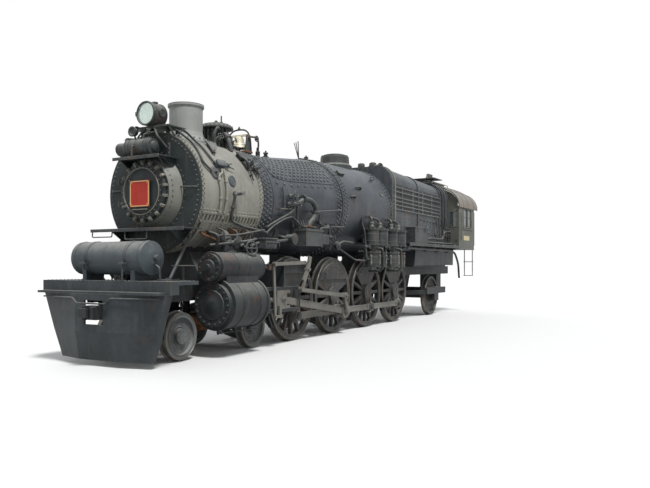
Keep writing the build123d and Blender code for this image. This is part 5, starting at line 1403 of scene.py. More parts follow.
@dataclass
class BoilerDress(Dress):
    """Rivets, doubler plates, hooks and seams of the two boiler courses."""

    rivet: float = 0.023
    front_rows: tuple[float, ...] = (1.975, 2.075, 2.2)
    join_rows: Pair = (4.98, 5.08)
    rear_rows: tuple[float, ...] = (5.3, 5.42, 7.86, 7.98)
    patch: Pair = (2.48, 4.86)
    patch_edge: Pair = (2.38, 4.93)

    def belts(self) -> None:
        """Rows of rivets round both courses, odd rows half a pitch on."""
        front, rear = self.shape("boiler_rivets", RIVET_PALE), self.shape("rear_course_rivets", RIVET_PALE)
        for work, rows, count in ((front, self.front_rows, 74), (front, self.join_rows, 80),
                                  (rear, self.rear_rows, 80)):
            for row, s in enumerate(rows):
                for i in range(count):
                    self._rivet(work, s, 360 * (i + 0.5 * (row % 2)) / count, self.rivet)

    @staticmethod
    def _rivet(work: Shape, station: float, angle: float, radius: float, lift: float = 0.0) -> None:
        """A high rivet head, paler as a painted highlight and rubbed, in a ring of painted shade, at a lift
        over the boiler.
        """
        place, out = work.on(station, angle, lift), work.out(station, angle)
        # A flat dark disc round the head's foot: painted shade.
        work.finish = PAINTED_SHADE
        work.stud(place + out * 0.0012, out, radius * 1.42, Stud.FLAT_DISC)
        # The head's pale colour is a painted highlight, with rubbed wear on its edges.
        work.finish = RIVET_PALE
        work.stud(place, out, radius, Stud.HIGH)

    def seams(self) -> None:
        """The strap over each join, as a thin band round the boiler."""
        for name, finish, s0, s1, thick in (("join_strap", COURSE_DARK, 5.165, 5.205, 0.016),
                                            ("first_strap", COURSE_DARK, 2.28, 2.3, 0.01),
                                            ("throat_strap", FIREBOX_GREY, 8.04, 8.09, 0.02)):
            self.shape(name, finish).band(
                ((s0, -0.004), (s0, thick), (s1, thick), (s1, -0.004)),
                lambda s, lift: [SKIN.on(s, -180 + 360 * i / 96, lift) for i in range(96)])

    def doubler(self) -> None:
        """The doubler plate with its staggered rivets on each upper side, and the larger row below it."""
        work = self.shape("boiler_doubler", COURSE_DARK)
        (first, last), (front, back) = self.patch, self.patch_edge
        for _ in work.sides():
            work.finish, rows = COURSE_DARK, []
            for s in (front + (back - front) * i / 12 for i in range(13)):
                low = 26.4 - 1.7 * (s - 2.6) / 2.33
                if s < 2.6:
                    low = 32.6 - 6.2 * min(1.0, (s - front) / 0.22)
                angles = [low + (64 - low) * k / 10 for k in range(11)]
                rows.append([work.on(s, a, 0.013) for a in angles]
                            + [work.on(s, a, -0.006) for a in angles[::-1]])
            work.skin(rows)
            for row in range(8):
                for i in range(15):
                    s = first + (last - first) * (i + 0.5 * (row % 2)) / 15
                    self._rivet(work, s, 29.4 + 32.6 * row / 7, 0.029, 0.0128)
            for i in range(9):
                self._rivet(work, 2.53 + 2.23 * i / 8, 21, 0.028)

    def hooks(self) -> None:
        """Lugs, hooks and a hand hole on the rear course, and a thin pipe on the front one."""
        work = self.shape("boiler_lugs")
        for _ in work.sides():
            work.wrap((5.42, 40.5), (5.72, 45.5), 0.075, (2, 3))
            for s, a, size in ((6.21, 25, 0.15), (5.76, 12, 0.1)):
                foot, out = work.on(s, a, -0.01), work.out(s, a)
                work.tube([foot + BACK * size * share + out * lift for share, lift in (
                    (-1, 0), (-0.8, 0.07), (0, 0.08), (0.7, 0.05), (1, -0.002))], 0.026, 0.05)
            work.boss(7.34, 42.6, 0.0, ((-0.01, 0.06), (0.016, 0.06), (0.02, 0.03), (0.06, 0.026)), 12)
            work.hoop(work.on(7.34, 42.6) + work.out(7.34, 42.6) * 0.08, BACK, 0.05, 0.012, 20, 6)
            work.boss(7.56, 23, -0.006, ((0, 0.09), (0.02, 0.09), (0.024, 0.07), (0.012, 0.05),
                                         (0.012, 0.0)), 20)
        work.tube([SKIN.on(4.62, 76, 0.03), *trail(((4.72, 68), (4.86, 57), (5.0, 44), (5.1, 36)), 0.05)],
                  0.014, 0.1, 8)


@dataclass
class SidePipes(Dress):
    """The pipework and valves along both sides, between the boiler and the running gear.

    Args:
        main: radius of the thick pipes.
        small: radius of the thin ones.
    """

    main: float = 0.055
    small: float = 0.016

    def runs(self) -> None:
        """The pipes of each side with their flanges and valves, and the rusted plates among them."""
        for work in self.pair("side_pipes"):
            on = work.on
            far = (((4.7, 1.25, 2.1), (5.64, 1.3, 1.78), (6.4, 1.3, 1.76)) if work.hand < 0 else
                   ((4.7, 1.25, 2.16), (6.1, 1.25, 2.12)))
            for radius, bend, sides, *path in (
                    (self.small, 0.05, 10, on(2.66, 17, 0.03), on(2.66, 8, 0.03), on(2.65, -6, 0.03)),
                    (0.022, 0.05, 10, on(2.47, -8, 0.05), on(2.9, -7, 0.05)),
                    (self.main, 0.12, 12, on(3.12, -2, 0.0), on(3.14, 1, 0.13), (3.3, 1.24, 3.1),
                     (3.62, 1.26, 3.06), (3.8, 1.25, 2.9), (3.72, 1.24, 2.7), (3.5, 1.25, 2.58),
                     (3.44, 1.25, 2.45)),
                    (0.028, 0.05, 10, on(2.82, 6, 0.09), on(3.02, 7, 0.09), on(3.04, 2, 0.09),
                     on(3.08, -4, 0.1), on(3.1, -14, 0.1), (3.12, 1.22, 2.42)),
                    (0.022, 0.1, 8, (1.95, 1.16, 2.42), (2.3, 1.16, 2.56), on(2.85, -11, 0.08),
                     on(2.98, -6, 0.1)),
                    (self.small, 0.1, 8, (1.9, 1.18, 2.3), (2.1, 1.2, 2.44), (2.5, 1.2, 2.6),
                     on(2.95, -14, 0.08), (3.1, 1.26, 2.5)),
                    (0.018, 0.05, 8, on(3.75, -8.5, 0.03), on(4.4, -6.8, 0.03), on(5.05, -5.2, 0.04)),
                    (0.024, 0.06, 8, on(4.1, -11, 0.05), on(4.1, -20, 0.06), on(4.44, -24, 0.06),
                     on(5.3, -24, 0.06)),
                    (0.024, 0.06, 8, (3.9, 1.2, 2.36), (4.1, 1.22, 2.5), (4.45, 1.22, 2.52),
                     (4.48, 1.22, 2.2), (4.52, 1.2, 2.0)),
                    (0.02, 0.1, 8, (4.0, 1.2, 2.3), (4.3, 1.2, 2.28), *far),
                    (0.022, 0.06, 8, (4.72, 1.28, 2.12), (5.0, 1.3, 2.22), (5.5, 1.3, 2.2)),
                    (0.05, 0.06, 10, (1.22, 1.2, 1.98), (1.22, 1.08, 2.0), (1.3, 1.0, 2.06),
                     (1.5, 0.98, 2.1)),
                    (0.026, 0.1, 10, (0.35, 0.98, 2.02), (0.7, 1.16, 2.06), (1.1, 1.18, 2.1),
                     (1.6, 1.14, 2.16)),
                    (0.018, 0.1, 8, (0.5, 1.02, 2.2), (0.95, 1.12, 2.22), (1.35, 1.14, 2.28),
                     (1.9, 1.12, 2.36)),
                    (0.03, 0.08, 8, (1.4, 1.13, 2.02), (1.7, 1.2, 2.12), (2.2, 1.2, 2.14),
                     (2.9, 1.22, 2.2))):
                work.tube(path, radius, bend, sides)
            for s in (2.5, 2.87):
                work.post(s, -8, 0.06, 0.018)
            work.flange((3.22, 1.245, 3.09), (1, 0, 0.1), 0.092, 0.018, 8)
            work.flange((3.78, 1.245, 2.84), (0.3, 0, -1), 0.092, 0.018, 8)
            for place, way, stem, size in (
                    (on(2.82, 6, 0.09), BACK, (0, 1, 0.35), 0.052),
                    (on(2.98, -1.5, 0.09), (0.2, 0, 1), (0.3, 1, 0.1), 0.044),
                    (on(2.76, -2.0, 0.08), (0.2, 0, 1), (-0.4, 1, 0), 0.036),
                    ((4.48, 1.22, 2.3), UP, (0.4, 1, 0), 0.04),
                    ((0.86, 1.14, 2.07), (1, 0, 0.1), (0, 1, 0.6), 0.05)):
                work.valve(place, way, stem, size)
            work.turned((4.72, 1.2, 2.11), OUT, ((0, 0.05), (0.06, 0.1), (0.12, 0.105), (0.13, 0.07),
                                                 (0.16, 0.04)), 14)
            work.handwheel((1.22, 1.3, 1.98), (-0.3, 1, 0.1), 0.13)
            for s in (0.62, 1.02, 1.42):
                work.tube([on(s, -34, 0.04), (s, 1.1, 2.3), (s + 0.02, 1.12, 2.1), (s + 0.04, 1.1, 1.93)],
                          0.016, 0.06, 8)
            for k, s in enumerate((2.2, 2.44, 3.05, 3.3, 4.2, 4.62)):
                low, odd = -52 + 5 * (k % 3), k % 2
                work.tube([on(s, -19 - 4 * odd, -0.005), on(s, -20 - 4 * odd, 0.07),
                           on(s + 0.05, low + 14, 0.08), on(s + 0.12, low + 4, 0.07),
                           on(s + 0.12, low, -0.005)], 0.014 + 0.004 * odd, 0.06, 8)
                work.turned(on(s + 0.03, low + 18, 0.08), (0.05, 0, -1), ((-0.03, 0.03), (0.03, 0.03)), 6)
            work.finish = RUST
            for low, high in (((0.98, -38.5), (1.28, -33.5)), ((0.3, -42.0), (0.62, -39.5)),
                              ((1.42, -41.0), (1.56, -36.0))):
                work.wrap(low, high, 0.06, (2, 2))
            work.tube([on(0.24, -40, 0.0), on(0.26, -40, 0.1), on(0.6, -43, 0.14), on(0.94, -47, 0.14),
                       on(0.98, -47, 0.0)], 0.022, 0.06, 8)
            work.flange((3.46, 1.25, 2.5), (0.2, 0, 1), 0.08, 0.016, 8)

    def brackets(self) -> None:
        """Small boxes, oilers and the step bracket ahead of the lubricator, on both sides."""
        for work in self.pair("side_fittings"):
            work.block((1.62, 1.12, 1.98), (2.02, 1.36, 2.16), 0.012)
            work.block((1.6, 1.1, 2.16), (2.04, 1.38, 2.19), 0.006)
            work.bar((1.8, 0.9, 2.2), (1.8, 1.15, 2.1), 0.03, 8)
            for s in (1.68, 1.78, 1.88, 1.98):
                work.turned((s, 1.36, 2.1), OUT,
                            ((0, 0.022), (0.03, 0.022), (0.035, 0.012), (0.07, 0.012)), 8)
                work.tube([(s, 1.42, 2.1), (s, 1.44, 2.02), (s + 0.06, 1.3, 1.92)], 0.007, 0.03, 6)
            work.turned((2.72, 1.16, 2.2), OUT, ((0, 0.1), (0.16, 0.1), (0.165, 0.12), (0.19, 0.12),
                                                 (0.2, 0.08), (0.22, 0.0)), 20)
            work.circle((2.72, 1.35, 2.2), OUT, 0.1, 8, 0.012)
            work.bar((2.72, 0.95, 2.25), (2.72, 1.2, 2.2), 0.05)
            work.block((3.9, 1.16, 2.12), (4.2, 1.36, 2.34), 0.01)
            work.studs((3.93, 1.362, 2.32), (4.17, 1.362, 2.32), 4, OUT, 0.01)
            work.bar((4.05, 0.95, 2.3), (4.05, 1.18, 2.24), 0.035, 8)

    def lubricator(self) -> None:
        """Lid edge, screws, filler caps and thin pipes of the lubricator box."""
        box = self.shape("lubricator_details")
        (s0, y0, _), (s1, _, top) = span("lubricator_box")
        box.block((s0 - 0.004, y0 - 0.006, top - 0.05), (s1 + 0.004, -1.16, top - 0.035), 0.003)
        for h in (2.12, 2.36):
            box.studs((3.08, y0 + 0.0095, h), (3.74, y0 + 0.0095, h), 7, LEFT, 0.01, Stud.BOLT)
        for s in (3.2, 3.6):
            box.turned((s, -1.3, top - 0.002), UP, ((0, 0.05), (0.03, 0.05), (0.035, 0.065), (0.06, 0.06),
                                                    (0.07, 0.03)), 14)
        for s in (3.1 + i * 0.1 for i in range(7)):
            box.tube([(s, -1.2, 2.435), (s, -1.2, 2.5), (s + 0.03, -1.14, 2.56),
                      SKIN.on(s + 0.06, -16, 0.01)], 0.008, 0.04, 6)


@dataclass
class FireboxDress(Dress):
    """Strips and stay heads on the firebox, pipes on its shoulder and the turret's lines."""

    box: FireboxSkin = field(default_factory=FireboxSkin.read)
    strips: tuple[float, ...] = (3.24, 3.36, 3.47, 3.58, 3.74, 3.87)
    reach: Pair = (8.2, 12.25)
    stay: float = 0.015
    pitch: float = 0.105

    def _side(self, station: float, height: float, lift: float) -> Place:
        """A place over the firebox's side."""
        return station, self.box.size(station)[0] + lift, height

    def strip_rows(self) -> None:
        """Flat strips along the upper side, each under a row of stay heads, and dark plates of painted
        shade between them.
        """
        s0, s1 = self.reach
        for work in self.pair("firebox_strips", PAINTED_SHADE):
            # Dark plates between the strips: painted shade between raised parts.
            for low, high in zip(self.strips, (*self.strips[1:], 3.97)):
                work.skin([[self._side(s, h - drop, lift)
                            for h, lift in ((low + 0.014, -0.003), (low + 0.014, 0.004),
                                            (high - 0.022, 0.004), (high - 0.022, -0.003))]
                           for s, drop in ((s0, 0.0), (s1, 0.02))])
            work.finish, count = STRIP_GREY, int((s1 - s0) / self.pitch)
            for h in self.strips:
                work.skin([[self._side(s0 + (s1 - s0) * k / 8, h + rise - 0.02 * k / 8, lift)
                            for rise, lift in ((-0.026, -0.004), (-0.026, 0.02), (-0.012, 0.034),
                                               (0.012, 0.034), (0.018, 0.02), (0.018, -0.004))]
                           for k in range(9)])
                for i in range(count):
                    work.stud(self._side(s0 + (s1 - s0) * (i + 0.5) / count, h + 0.048 - 0.02 * i / count,
                                         -0.001), OUT, self.stay, Stud.CAP)
            for s in (8.9, 9.75, 10.6, 11.45):
                work.skin([[self._side(s + ds, h, lift) for ds, lift in ((0, -0.003), (0, 0.024),
                                                                         (0.05, 0.024), (0.05, -0.003))]
                           for h in (3.2, 3.92)])

    def stays(self) -> None:
        """Rows of stay heads on the sides, shoulders and crown."""
        for work in self.pair("firebox_stays", FIREBOX_GREY):
            for row in range(6):
                for s in (8.45 + 0.108 * i + 0.054 * (row % 2) for i in range(43)):
                    if s < 13.1:
                        work.stud(self._side(s, 2.56 + 0.115 * row, -0.001), OUT, self.stay, Stud.SMALL)
            for a in (radians(20 + 25 * row) for row in range(3)):
                for s in (8.3 + 0.12 * i for i in range(40)):
                    (half, top), r = self.box.size(s), self.box.shoulder
                    work.stud((s, half - r + r * cos(a), top - r + r * sin(a)), (0, cos(a), sin(a)),
                              self.stay, Stud.SMALL)
        crown = self.shape("firebox_crown_stays", FIREBOX_GREY)
        for row in range(7):
            y = -0.63 + 0.21 * row
            for s in (8.3 + 0.16 * i + 0.08 * (row % 2) for i in range(26)):
                if all(hypot(s - ps, y - py) > 0.17 for ps, py in SAFETY_VALVES):
                    crown.stud((s, y, self.box.size(s)[1] - 0.001), UP, 0.016, Stud.SMALL)

    def bands(self) -> None:
        """The flange round the front, the pale pipe behind it and two straps over the top."""
        for name, finish, s0, s1, thick in (("firebox_front_flange", FIREBOX_GREY, 8.12, 8.24, 0.022),
                                            ("firebox_pale_band", FITTING_PALE, 8.3, 8.345, 0.05),
                                            ("firebox_strap_1", FIREBOX_GREY, 10.2, 10.26, 0.03),
                                            ("firebox_strap_2", FIREBOX_GREY, 12.3, 12.36, 0.03)):
            work = self.shape(name, finish)
            work.band(((s0, -0.004), (s0, thick), (s1, thick), (s1, -0.004)), self.box.over, False)
            if thick < 0.04:
                line = self.box.over((s0 + s1) / 2, thick - 0.001)
                for a, b in zip(line, line[1:]):
                    count = max(1, int((b - a).length / 0.12))
                    for i in range(count):
                        work.stud(a.lerp(b, (i + 0.5) / count), BACK.cross(b - a), 0.017)

    def rear_pipes(self) -> None:
        """The arched pipes over the rear shoulder and the runs down to the cab."""
        half = self.box.size(12.6)[0]
        for work in self.pair("turret_pipes"):
            for k, (s, r) in enumerate(((12.45, 0.03), (12.62, 0.022), (12.78, 0.026), (12.93, 0.018))):
                lift, drop = 0.06 + 0.02 * (k % 2), 0.1 * k
                arc = [(s, half - 0.45 + (0.45 + lift) * cos(a), 3.87 + (0.45 + lift) * sin(a))
                       for a in (radians(a) for a in range(75, -1, -15))]
                work.tube([(s, 0.5, 4.37), *arc, (s + 0.05, half + lift, 3.2 - drop),
                           (s + 0.12, half + lift, 2.9 - drop), (13.19, half + lift + 0.02, 2.86 - drop)],
                          r, 0.08, 8)
                work.bar((s, half - 0.01, 3.7), (s, half + lift, 3.7), 0.012, 6)
            for k in range(3):
                work.valve((12.3 + 0.22 * k, 0.72, 4.4), BACK, (0, 0.6, 1), 0.034)
            work.tube([(12.1, 0.62, 4.42), (12.3, 0.7, 4.4), (13.16, 0.7, 4.4)], 0.02, 0.05, 8)
            work.tube([(10.4, half + 0.09, 2.42), (11.2, half + 0.08, 2.5), (12.4, half + 0.08, 2.5),
                       (12.6, half + 0.08, 2.75), (13.19, half + 0.08, 2.8)], 0.03, 0.1, 8)
            for k, s in enumerate((11.85, 12.1, 12.42, 12.7, 12.92)):
                work.tube([(s - 0.02, half - 0.01, 3.24), (s, half + 0.06, 3.22), (s, half + 0.07, 2.9),
                           (s + 0.08, half + 0.08, 2.6), (s + 0.08, half + 0.08, 2.27)],
                          0.015 + 0.005 * (k % 2), 0.05, 8)
                work.turned((s, half + 0.07, 3.0), UP, ((0, 0.03), (0.05, 0.03)), 6)
            for s in (10.9, 11.7, 12.5):
                work.valve((s, half + 0.09, 2.62), UP, (0, 1, 0.2), 0.034)
                work.tube([(s, half + 0.09, 2.5), (s, half + 0.09, 2.7), (s + 0.12, half + 0.06, 2.86),
                           (s + 0.14, half - 0.01, 2.88)], 0.016, 0.04, 8)
            for i in range(8):
                work.turned((10.5 + i * 0.3, half - 0.01, 3.06 - 0.012 * i), OUT,
                            ((0, 0.04), (0.03, 0.04), (0.035, 0.026), (0.07, 0.024)), 10)

    def front_valve(self) -> None:
        """The fin over the turret hood and the bent pipes ahead of the safety valves."""
        work = self.shape("firebox_front_valve")
        work.skin([[(s0, y0, h), (s0, y1, h), (s1, y1, h), (s1, y0, h)]
                   for s0, s1, y0, y1, h in ((12.42, 12.97, -0.67, -0.57, 4.57),
                                             (12.5, 12.965, -0.655, -0.585, 4.64),
                                             (12.56, 12.962, -0.65, -0.59, 4.757))])
        for _ in work.sides():
            work.tube([(8.38, 0.5, 4.43), (8.46, 0.62, 4.52), (8.66, 0.66, 4.52), (8.84, 0.66, 4.42)],
                      0.045)
            work.flange((8.56, 0.655, 4.52), BACK, 0.08, 0.02)


@dataclass
class PumpDress(Dress):
    """Bolts, caps, lagging bands and pipes of the two air pumps."""

    pumps: Pair = (6.8, 8.05)
    side: float = -1.33
    top: float = 2.64

    def details(self) -> None:
        """Nuts, caps and bands of the four cylinders, and the pipes between and behind them."""
        work, dark = self.shape("air_pump_details", FITTING_PALE), self.shape("air_pump_pipes")
        y = self.side
        for s in self.pumps:
            for x, high, low in ((s - 0.25, 0.175, 0.215), (s + 0.25, 0.215, 0.175)):
                for h, reach in ((2.594, high + 0.004), (1.994, low + 0.006)):
                    work.circle((x, y, h), UP, reach, 10, 0.014, Stud.NUT)
                for h, reach in ((2.165, high + 0.006), (1.6, low + 0.004)):
                    work.circle((x, y, h), DOWN, reach, 10, 0.013)
                work.turned((x, y, self.top), UP, ((0, 0.06), (0.03, 0.06), (0.035, 0.042), (0.09, 0.042),
                                                   (0.095, 0.055), (0.13, 0.05), (0.135, 0.02)), 10)
                for h, r in ((2.28, high), (2.46, high), (1.72, low), (1.86, low)):
                    dark.hoop((x, y, h), UP, r - 0.001, 0.008, 32, 6)
                for a in (radians(a) for a in (200, 270, 340)):
                    work.turned((x + cos(a) * (low + 0.008), y + sin(a) * (low + 0.008), 1.66), UP,
                                ((0, 0.016), (0.03, 0.024), (0.2, 0.024), (0.21, 0.032), (0.25, 0.032),
                                 (0.26, 0.016)), 8)
                work.turned((x, y, 1.6), DOWN, ((0, 0.07), (0.03, 0.07), (0.035, 0.05), (0.08, 0.045)), 10)
            for radius, bend, *path in (
                    (0.03, 0.06, (-0.25, 0, 2.74), (-0.25, 0, 2.84), (-0.12, 0.1, 2.9), (0.1, 0.16, 2.9),
                     (0.25, 0.04, 2.84), (0.25, 0, 2.74)),
                    (0.032, 0.06, (0.02, -0.06, 2.08), (0.02, -0.18, 2.08), (0.02, -0.2, 1.6),
                     (0.04, -0.1, 1.5), (0.04, 0.23, 1.5))):
                dark.tube([(s + ds, y + dy, h) for ds, dy, h in path], radius, bend)
            dark.tube([(s, y + 0.15, 2.9), (s + 0.04, y + 0.24, 3.0), SKIN.on(s + 0.1, -2, -0.01)],
                      0.028, 0.06)
            dark.tube([(s - 0.48, y - 0.02, 1.8), (s - 0.6, y - 0.02, 1.8), (s - 0.6, y + 0.04, 2.5),
                       (s - 0.56, y + 0.14, 2.74), SKIN.on(s - 0.5, -8, -0.01)], 0.026, 0.07)
            dark.valve((s - 0.6, y + 0.01, 2.12), UP, LEFT, 0.04)
        for h in (2.0, 2.7):
            dark.tube([(6.2, -1.12, h), (7.4, -1.1, h), (8.66, -1.1, h)], 0.02, 0.05, 8)


@dataclass
class WheelDress(Dress):
    """Treads, nuts and caps of the wheels, each on its own axle's body.

    Args:
        face: how far to the side the wheels' outer faces stand.
        hub: the same of the drivers' hubs.
        trucks: body, station, radius and hub radius of the truck wheelsets.
    """

    face: float = 0.82
    hub: float = 0.87
    trucks: tuple[tuple[str, float, float, float], ...] = (
        ("leading_wheelset_front", -0.222, 0.419, 0.135), ("leading_wheelset_rear", 1.962, 0.419, 0.135),
        ("trailing_wheelset", 12.367, 0.635, 0.19))

    def _tread(self, name: str, body: str, station: float, radius: float) -> None:
        """A worn steel band round each tread and a bead at the rim of the tyre.

        Args:
            name: the piece's name.
            body: its body.
            station: where its centre is.
            radius: of its tread.
        """
        work = self.shape(name, TREAD_STEEL, body)
        for hand in work.sides():
            work.band(((0.722, -0.004), (0.724, 0.0012), (0.806, -0.0028), (0.808, -0.006)),
                      lambda y, lift: ring(at(station, hand * y, radius), BACK, UP, radius + lift, 72))
            work.hoop((station, self.face, radius), RIGHT, radius - 0.028, 0.006, 64, 6)

    def driving(self) -> None:
        """Dresses the driving wheelsets: hub covers, rim bolts, counterweight rivets and pin caps."""
        axle = DRIVER_RADIUS
        for number, station in enumerate(DRIVERS, 1):
            body = f"driving_wheelset_{number}"
            self._tread(f"tyres_{number}", body, station, axle)
            work = self.shape(f"wheel_fittings_{number}", WHEEL_DARK, body)
            for hand in work.sides():
                crank = radians(-90.0 if hand < 0 else 0.0)
                work.turned((station, self.hub - 0.002, axle), OUT,
                            ((0, 0.125), (0.005, 0.125), (0.006, 0.118), (0.006, 0.05), (0.003, 0.045),
                             (0.004, 0.0)))
                work.circle((station, self.hub + 0.003, axle), OUT, 0.085, 6, 0.01, Stud.FLAT_DISC)
                work.circle((station, self.face - 0.0005, axle), OUT, 0.868, 16, 0.014, Stud.RIVET, 11)
                for a in (crank + radians(180 + 13 * k) for k in range(-3, 4)):
                    work.stud((station + cos(a) * 0.7, 0.8445, axle + sin(a) * 0.7), OUT, 0.024)
                if number != 2:
                    s, h = station + cos(crank) * CRANK, axle + sin(crank) * CRANK
                    work.turned((s, 1.0095, h), OUT,
                                ((0, 0.06), (0.008, 0.06), (0.012, 0.05), (0.014, 0.0)), 20)
                    work.circle((s, 1.0175, h), OUT, 0.04, 3, 0.01)

    def small(self) -> None:
        """Dresses the truck wheelsets: beads, the plate holes' rims and the hub bolts."""
        for body, station, radius, hub in self.trucks:
            self._tread(body + "_tyres", body, station, radius)
            work = self.shape(body + "_fittings", WHEEL_DARK if body == "trailing_wheelset" else WHEEL_PALE,
                              body)
            middle = (hub + radius - 0.1) / 2 + 0.01
            for _ in work.sides():
                work.hoop((station, 0.822, radius), OUT, radius - 0.085, 0.01, 56, 6)
                work.hoop((station, 0.768, radius), OUT, hub + 0.03, 0.012, 32, 6)
                for a in (tau * (i + 0.5) / 8 for i in range(8)):
                    work.turned((station + cos(a) * middle, 0.764, radius + sin(a) * middle), OUT,
                                ((0, 0.036), (0.012, 0.036), (0.014, 0.026), (0.006, 0.022),
                                 (0.006, 0.0)), 12)
                if hub < 0.16:
                    work.circle((station, 0.8395, radius), OUT, 0.09, 6, 0.014)


@dataclass
class GearDress(Dress):
    """Oil cups, caps, nuts and packing of the rods, crossheads, cylinders and valve gear.

    Args:
        cylinder: distance to the side, height and radius of the cylinders.
        chest: the same of the valve chests.
    """

    cylinder: Place = (1.12, 0.945, 0.45)
    chest: Place = (1.12, 1.62, 0.275)

    def rods(self) -> None:
        """Oil cups and keeper bolts on the side rods' eyes."""
        for hand, side in BOTH:
            work = self.shape(f"side_rod_{side}_fittings", ROD_STEEL, f"side_rod_{side}", hand)
            ahead, up = (0.0, -CRANK) if hand < 0 else (CRANK, 0.0)
            for number, s in enumerate(DRIVERS, 1):
                s, h, main = s + ahead, DRIVER_RADIUS + up, number == 2
                work.turned((s, 0.93, h + (0.166 if main else 0.136)), UP,
                            ((0, 0.03), (0.02, 0.034), (0.06, 0.034), (0.065, 0.022), (0.09, 0.02),
                             (0.095, 0.01)), 10)
                for a in (radians(a) for a in (45, 135, 225, 315) if not main):
                    work.stud((s + cos(a) * 0.118, 0.9795, h + sin(a) * 0.118), OUT, 0.012, Stud.BOLT)

    def crossheads(self) -> None:
        """Pin nuts and oilers of the crossheads, bolts of the guides and the valve gear."""
        work = self.shape("crosshead_fittings", ROD_STEEL)
        for hand in work.sides():
            wrist = 2.52 if hand < 0 else 2.872
            work.turned((wrist, 1.194, 0.945), OUT, ((0, 0.07), (0.014, 0.07), (0.02, 0.05)), 16)
            work.stud((wrist, 1.21, 0.945), OUT, 0.04, Stud.NUT)
            for ds in (-0.12, 0.12):
                work.turned((wrist + ds, 1.16, 1.06), UP, ((0, 0.022), (0.04, 0.024), (0.06, 0.012)), 8)
            for s in (1.62, 3.12):
                for h in (1.207, 0.837):
                    for y in (1.075, 1.165):
                        work.stud((s, y, h), UP, 0.018, Stud.NUT)
            s, h = (5.191, 0.9145) if hand < 0 else (5.391, 0.7145)
            work.stud((s, 1.2875, h), OUT, 0.04, Stud.NUT)
            s, h = (5.391, 0.5335) if hand < 0 else (5.772, 0.9145)
            work.turned((s, 1.2395, h), OUT, ((0, 0.075), (0.012, 0.075), (0.016, 0.06)), 18)
            work.circle((s, 1.2515, h), OUT, 0.045, 4, 0.014, Stud.NUT, 45)
            for h, radius in ((1.56, 0.045), (1.36, 0.02), (1.76, 0.02)):
                work.stud((3.29, 1.3335, h), OUT, radius, Stud.NUT)

    def cylinders(self) -> None:
        """Head nuts, jacket bands, drain cocks and casing screws of the cylinders and valve chests."""
        work = self.shape("cylinder_fittings", CHASSIS)
        (y, h, radius), (chest_y, chest_h, chest_radius) = self.cylinder, self.chest
        for _ in work.sides():
            for s, way in ((0.2455, FORWARD), (1.5145, BACK)):
                work.circle((s, y, h), way, 0.35, 18, 0.022, Stud.NUT)
            work.turned((0.246, y, h), FORWARD, ((0, 0.27), (0.016, 0.26), (0.02, 0.12), (0.035, 0.1),
                                                 (0.036, 0.0)), 32)
            for s in (0.345, 0.62, 1.14, 1.415):
                work.hoop((s, y, h), BACK, radius + 0.001, 0.01, 64, 6)
            for s, way in ((0.1505, FORWARD), (1.5895, BACK)):
                head = work.spot((s, chest_y, chest_h))
                work.circle(head, way, 0.205, 12, 0.018, Stud.NUT)
                work.turned(head - way * 0.001, way, ((0, 0.14), (0.02, 0.13), (0.03, 0.06), (0.06, 0.055),
                                                      (0.065, 0.0)), 20)
            for s in (0.23, 0.7, 1.05, 1.51):
                work.hoop((s, chest_y, chest_h), BACK, chest_radius + 0.001, 0.009, 48, 6)
            for a in (radians(-60 + 15 * k) for k in range(9)):
                for s in (0.36, 1.4):
                    work.stud((s, y + cos(a) * (radius - 0.001), h + sin(a) * (radius - 0.001)),
                              (0, cos(a), sin(a)), 0.012)
            for s in (0.42, 0.88, 1.34):
                work.valve((s, y, h - radius - 0.05), UP, OUT, 0.026)
            work.bar((0.42, y + 0.03, h - radius - 0.07), (1.6, y + 0.03, h - radius - 0.07), 0.012, 8)
            work.tube([(0.5, 0.98, 1.88), (0.46, 1.06, 2.0), (0.44, 1.12, 2.2),
                       work.on(0.42, -40, -0.01)], 0.03)
            work.valve((0.96, 1.12, 2.0), BACK, (0, 0.4, 1), 0.05)


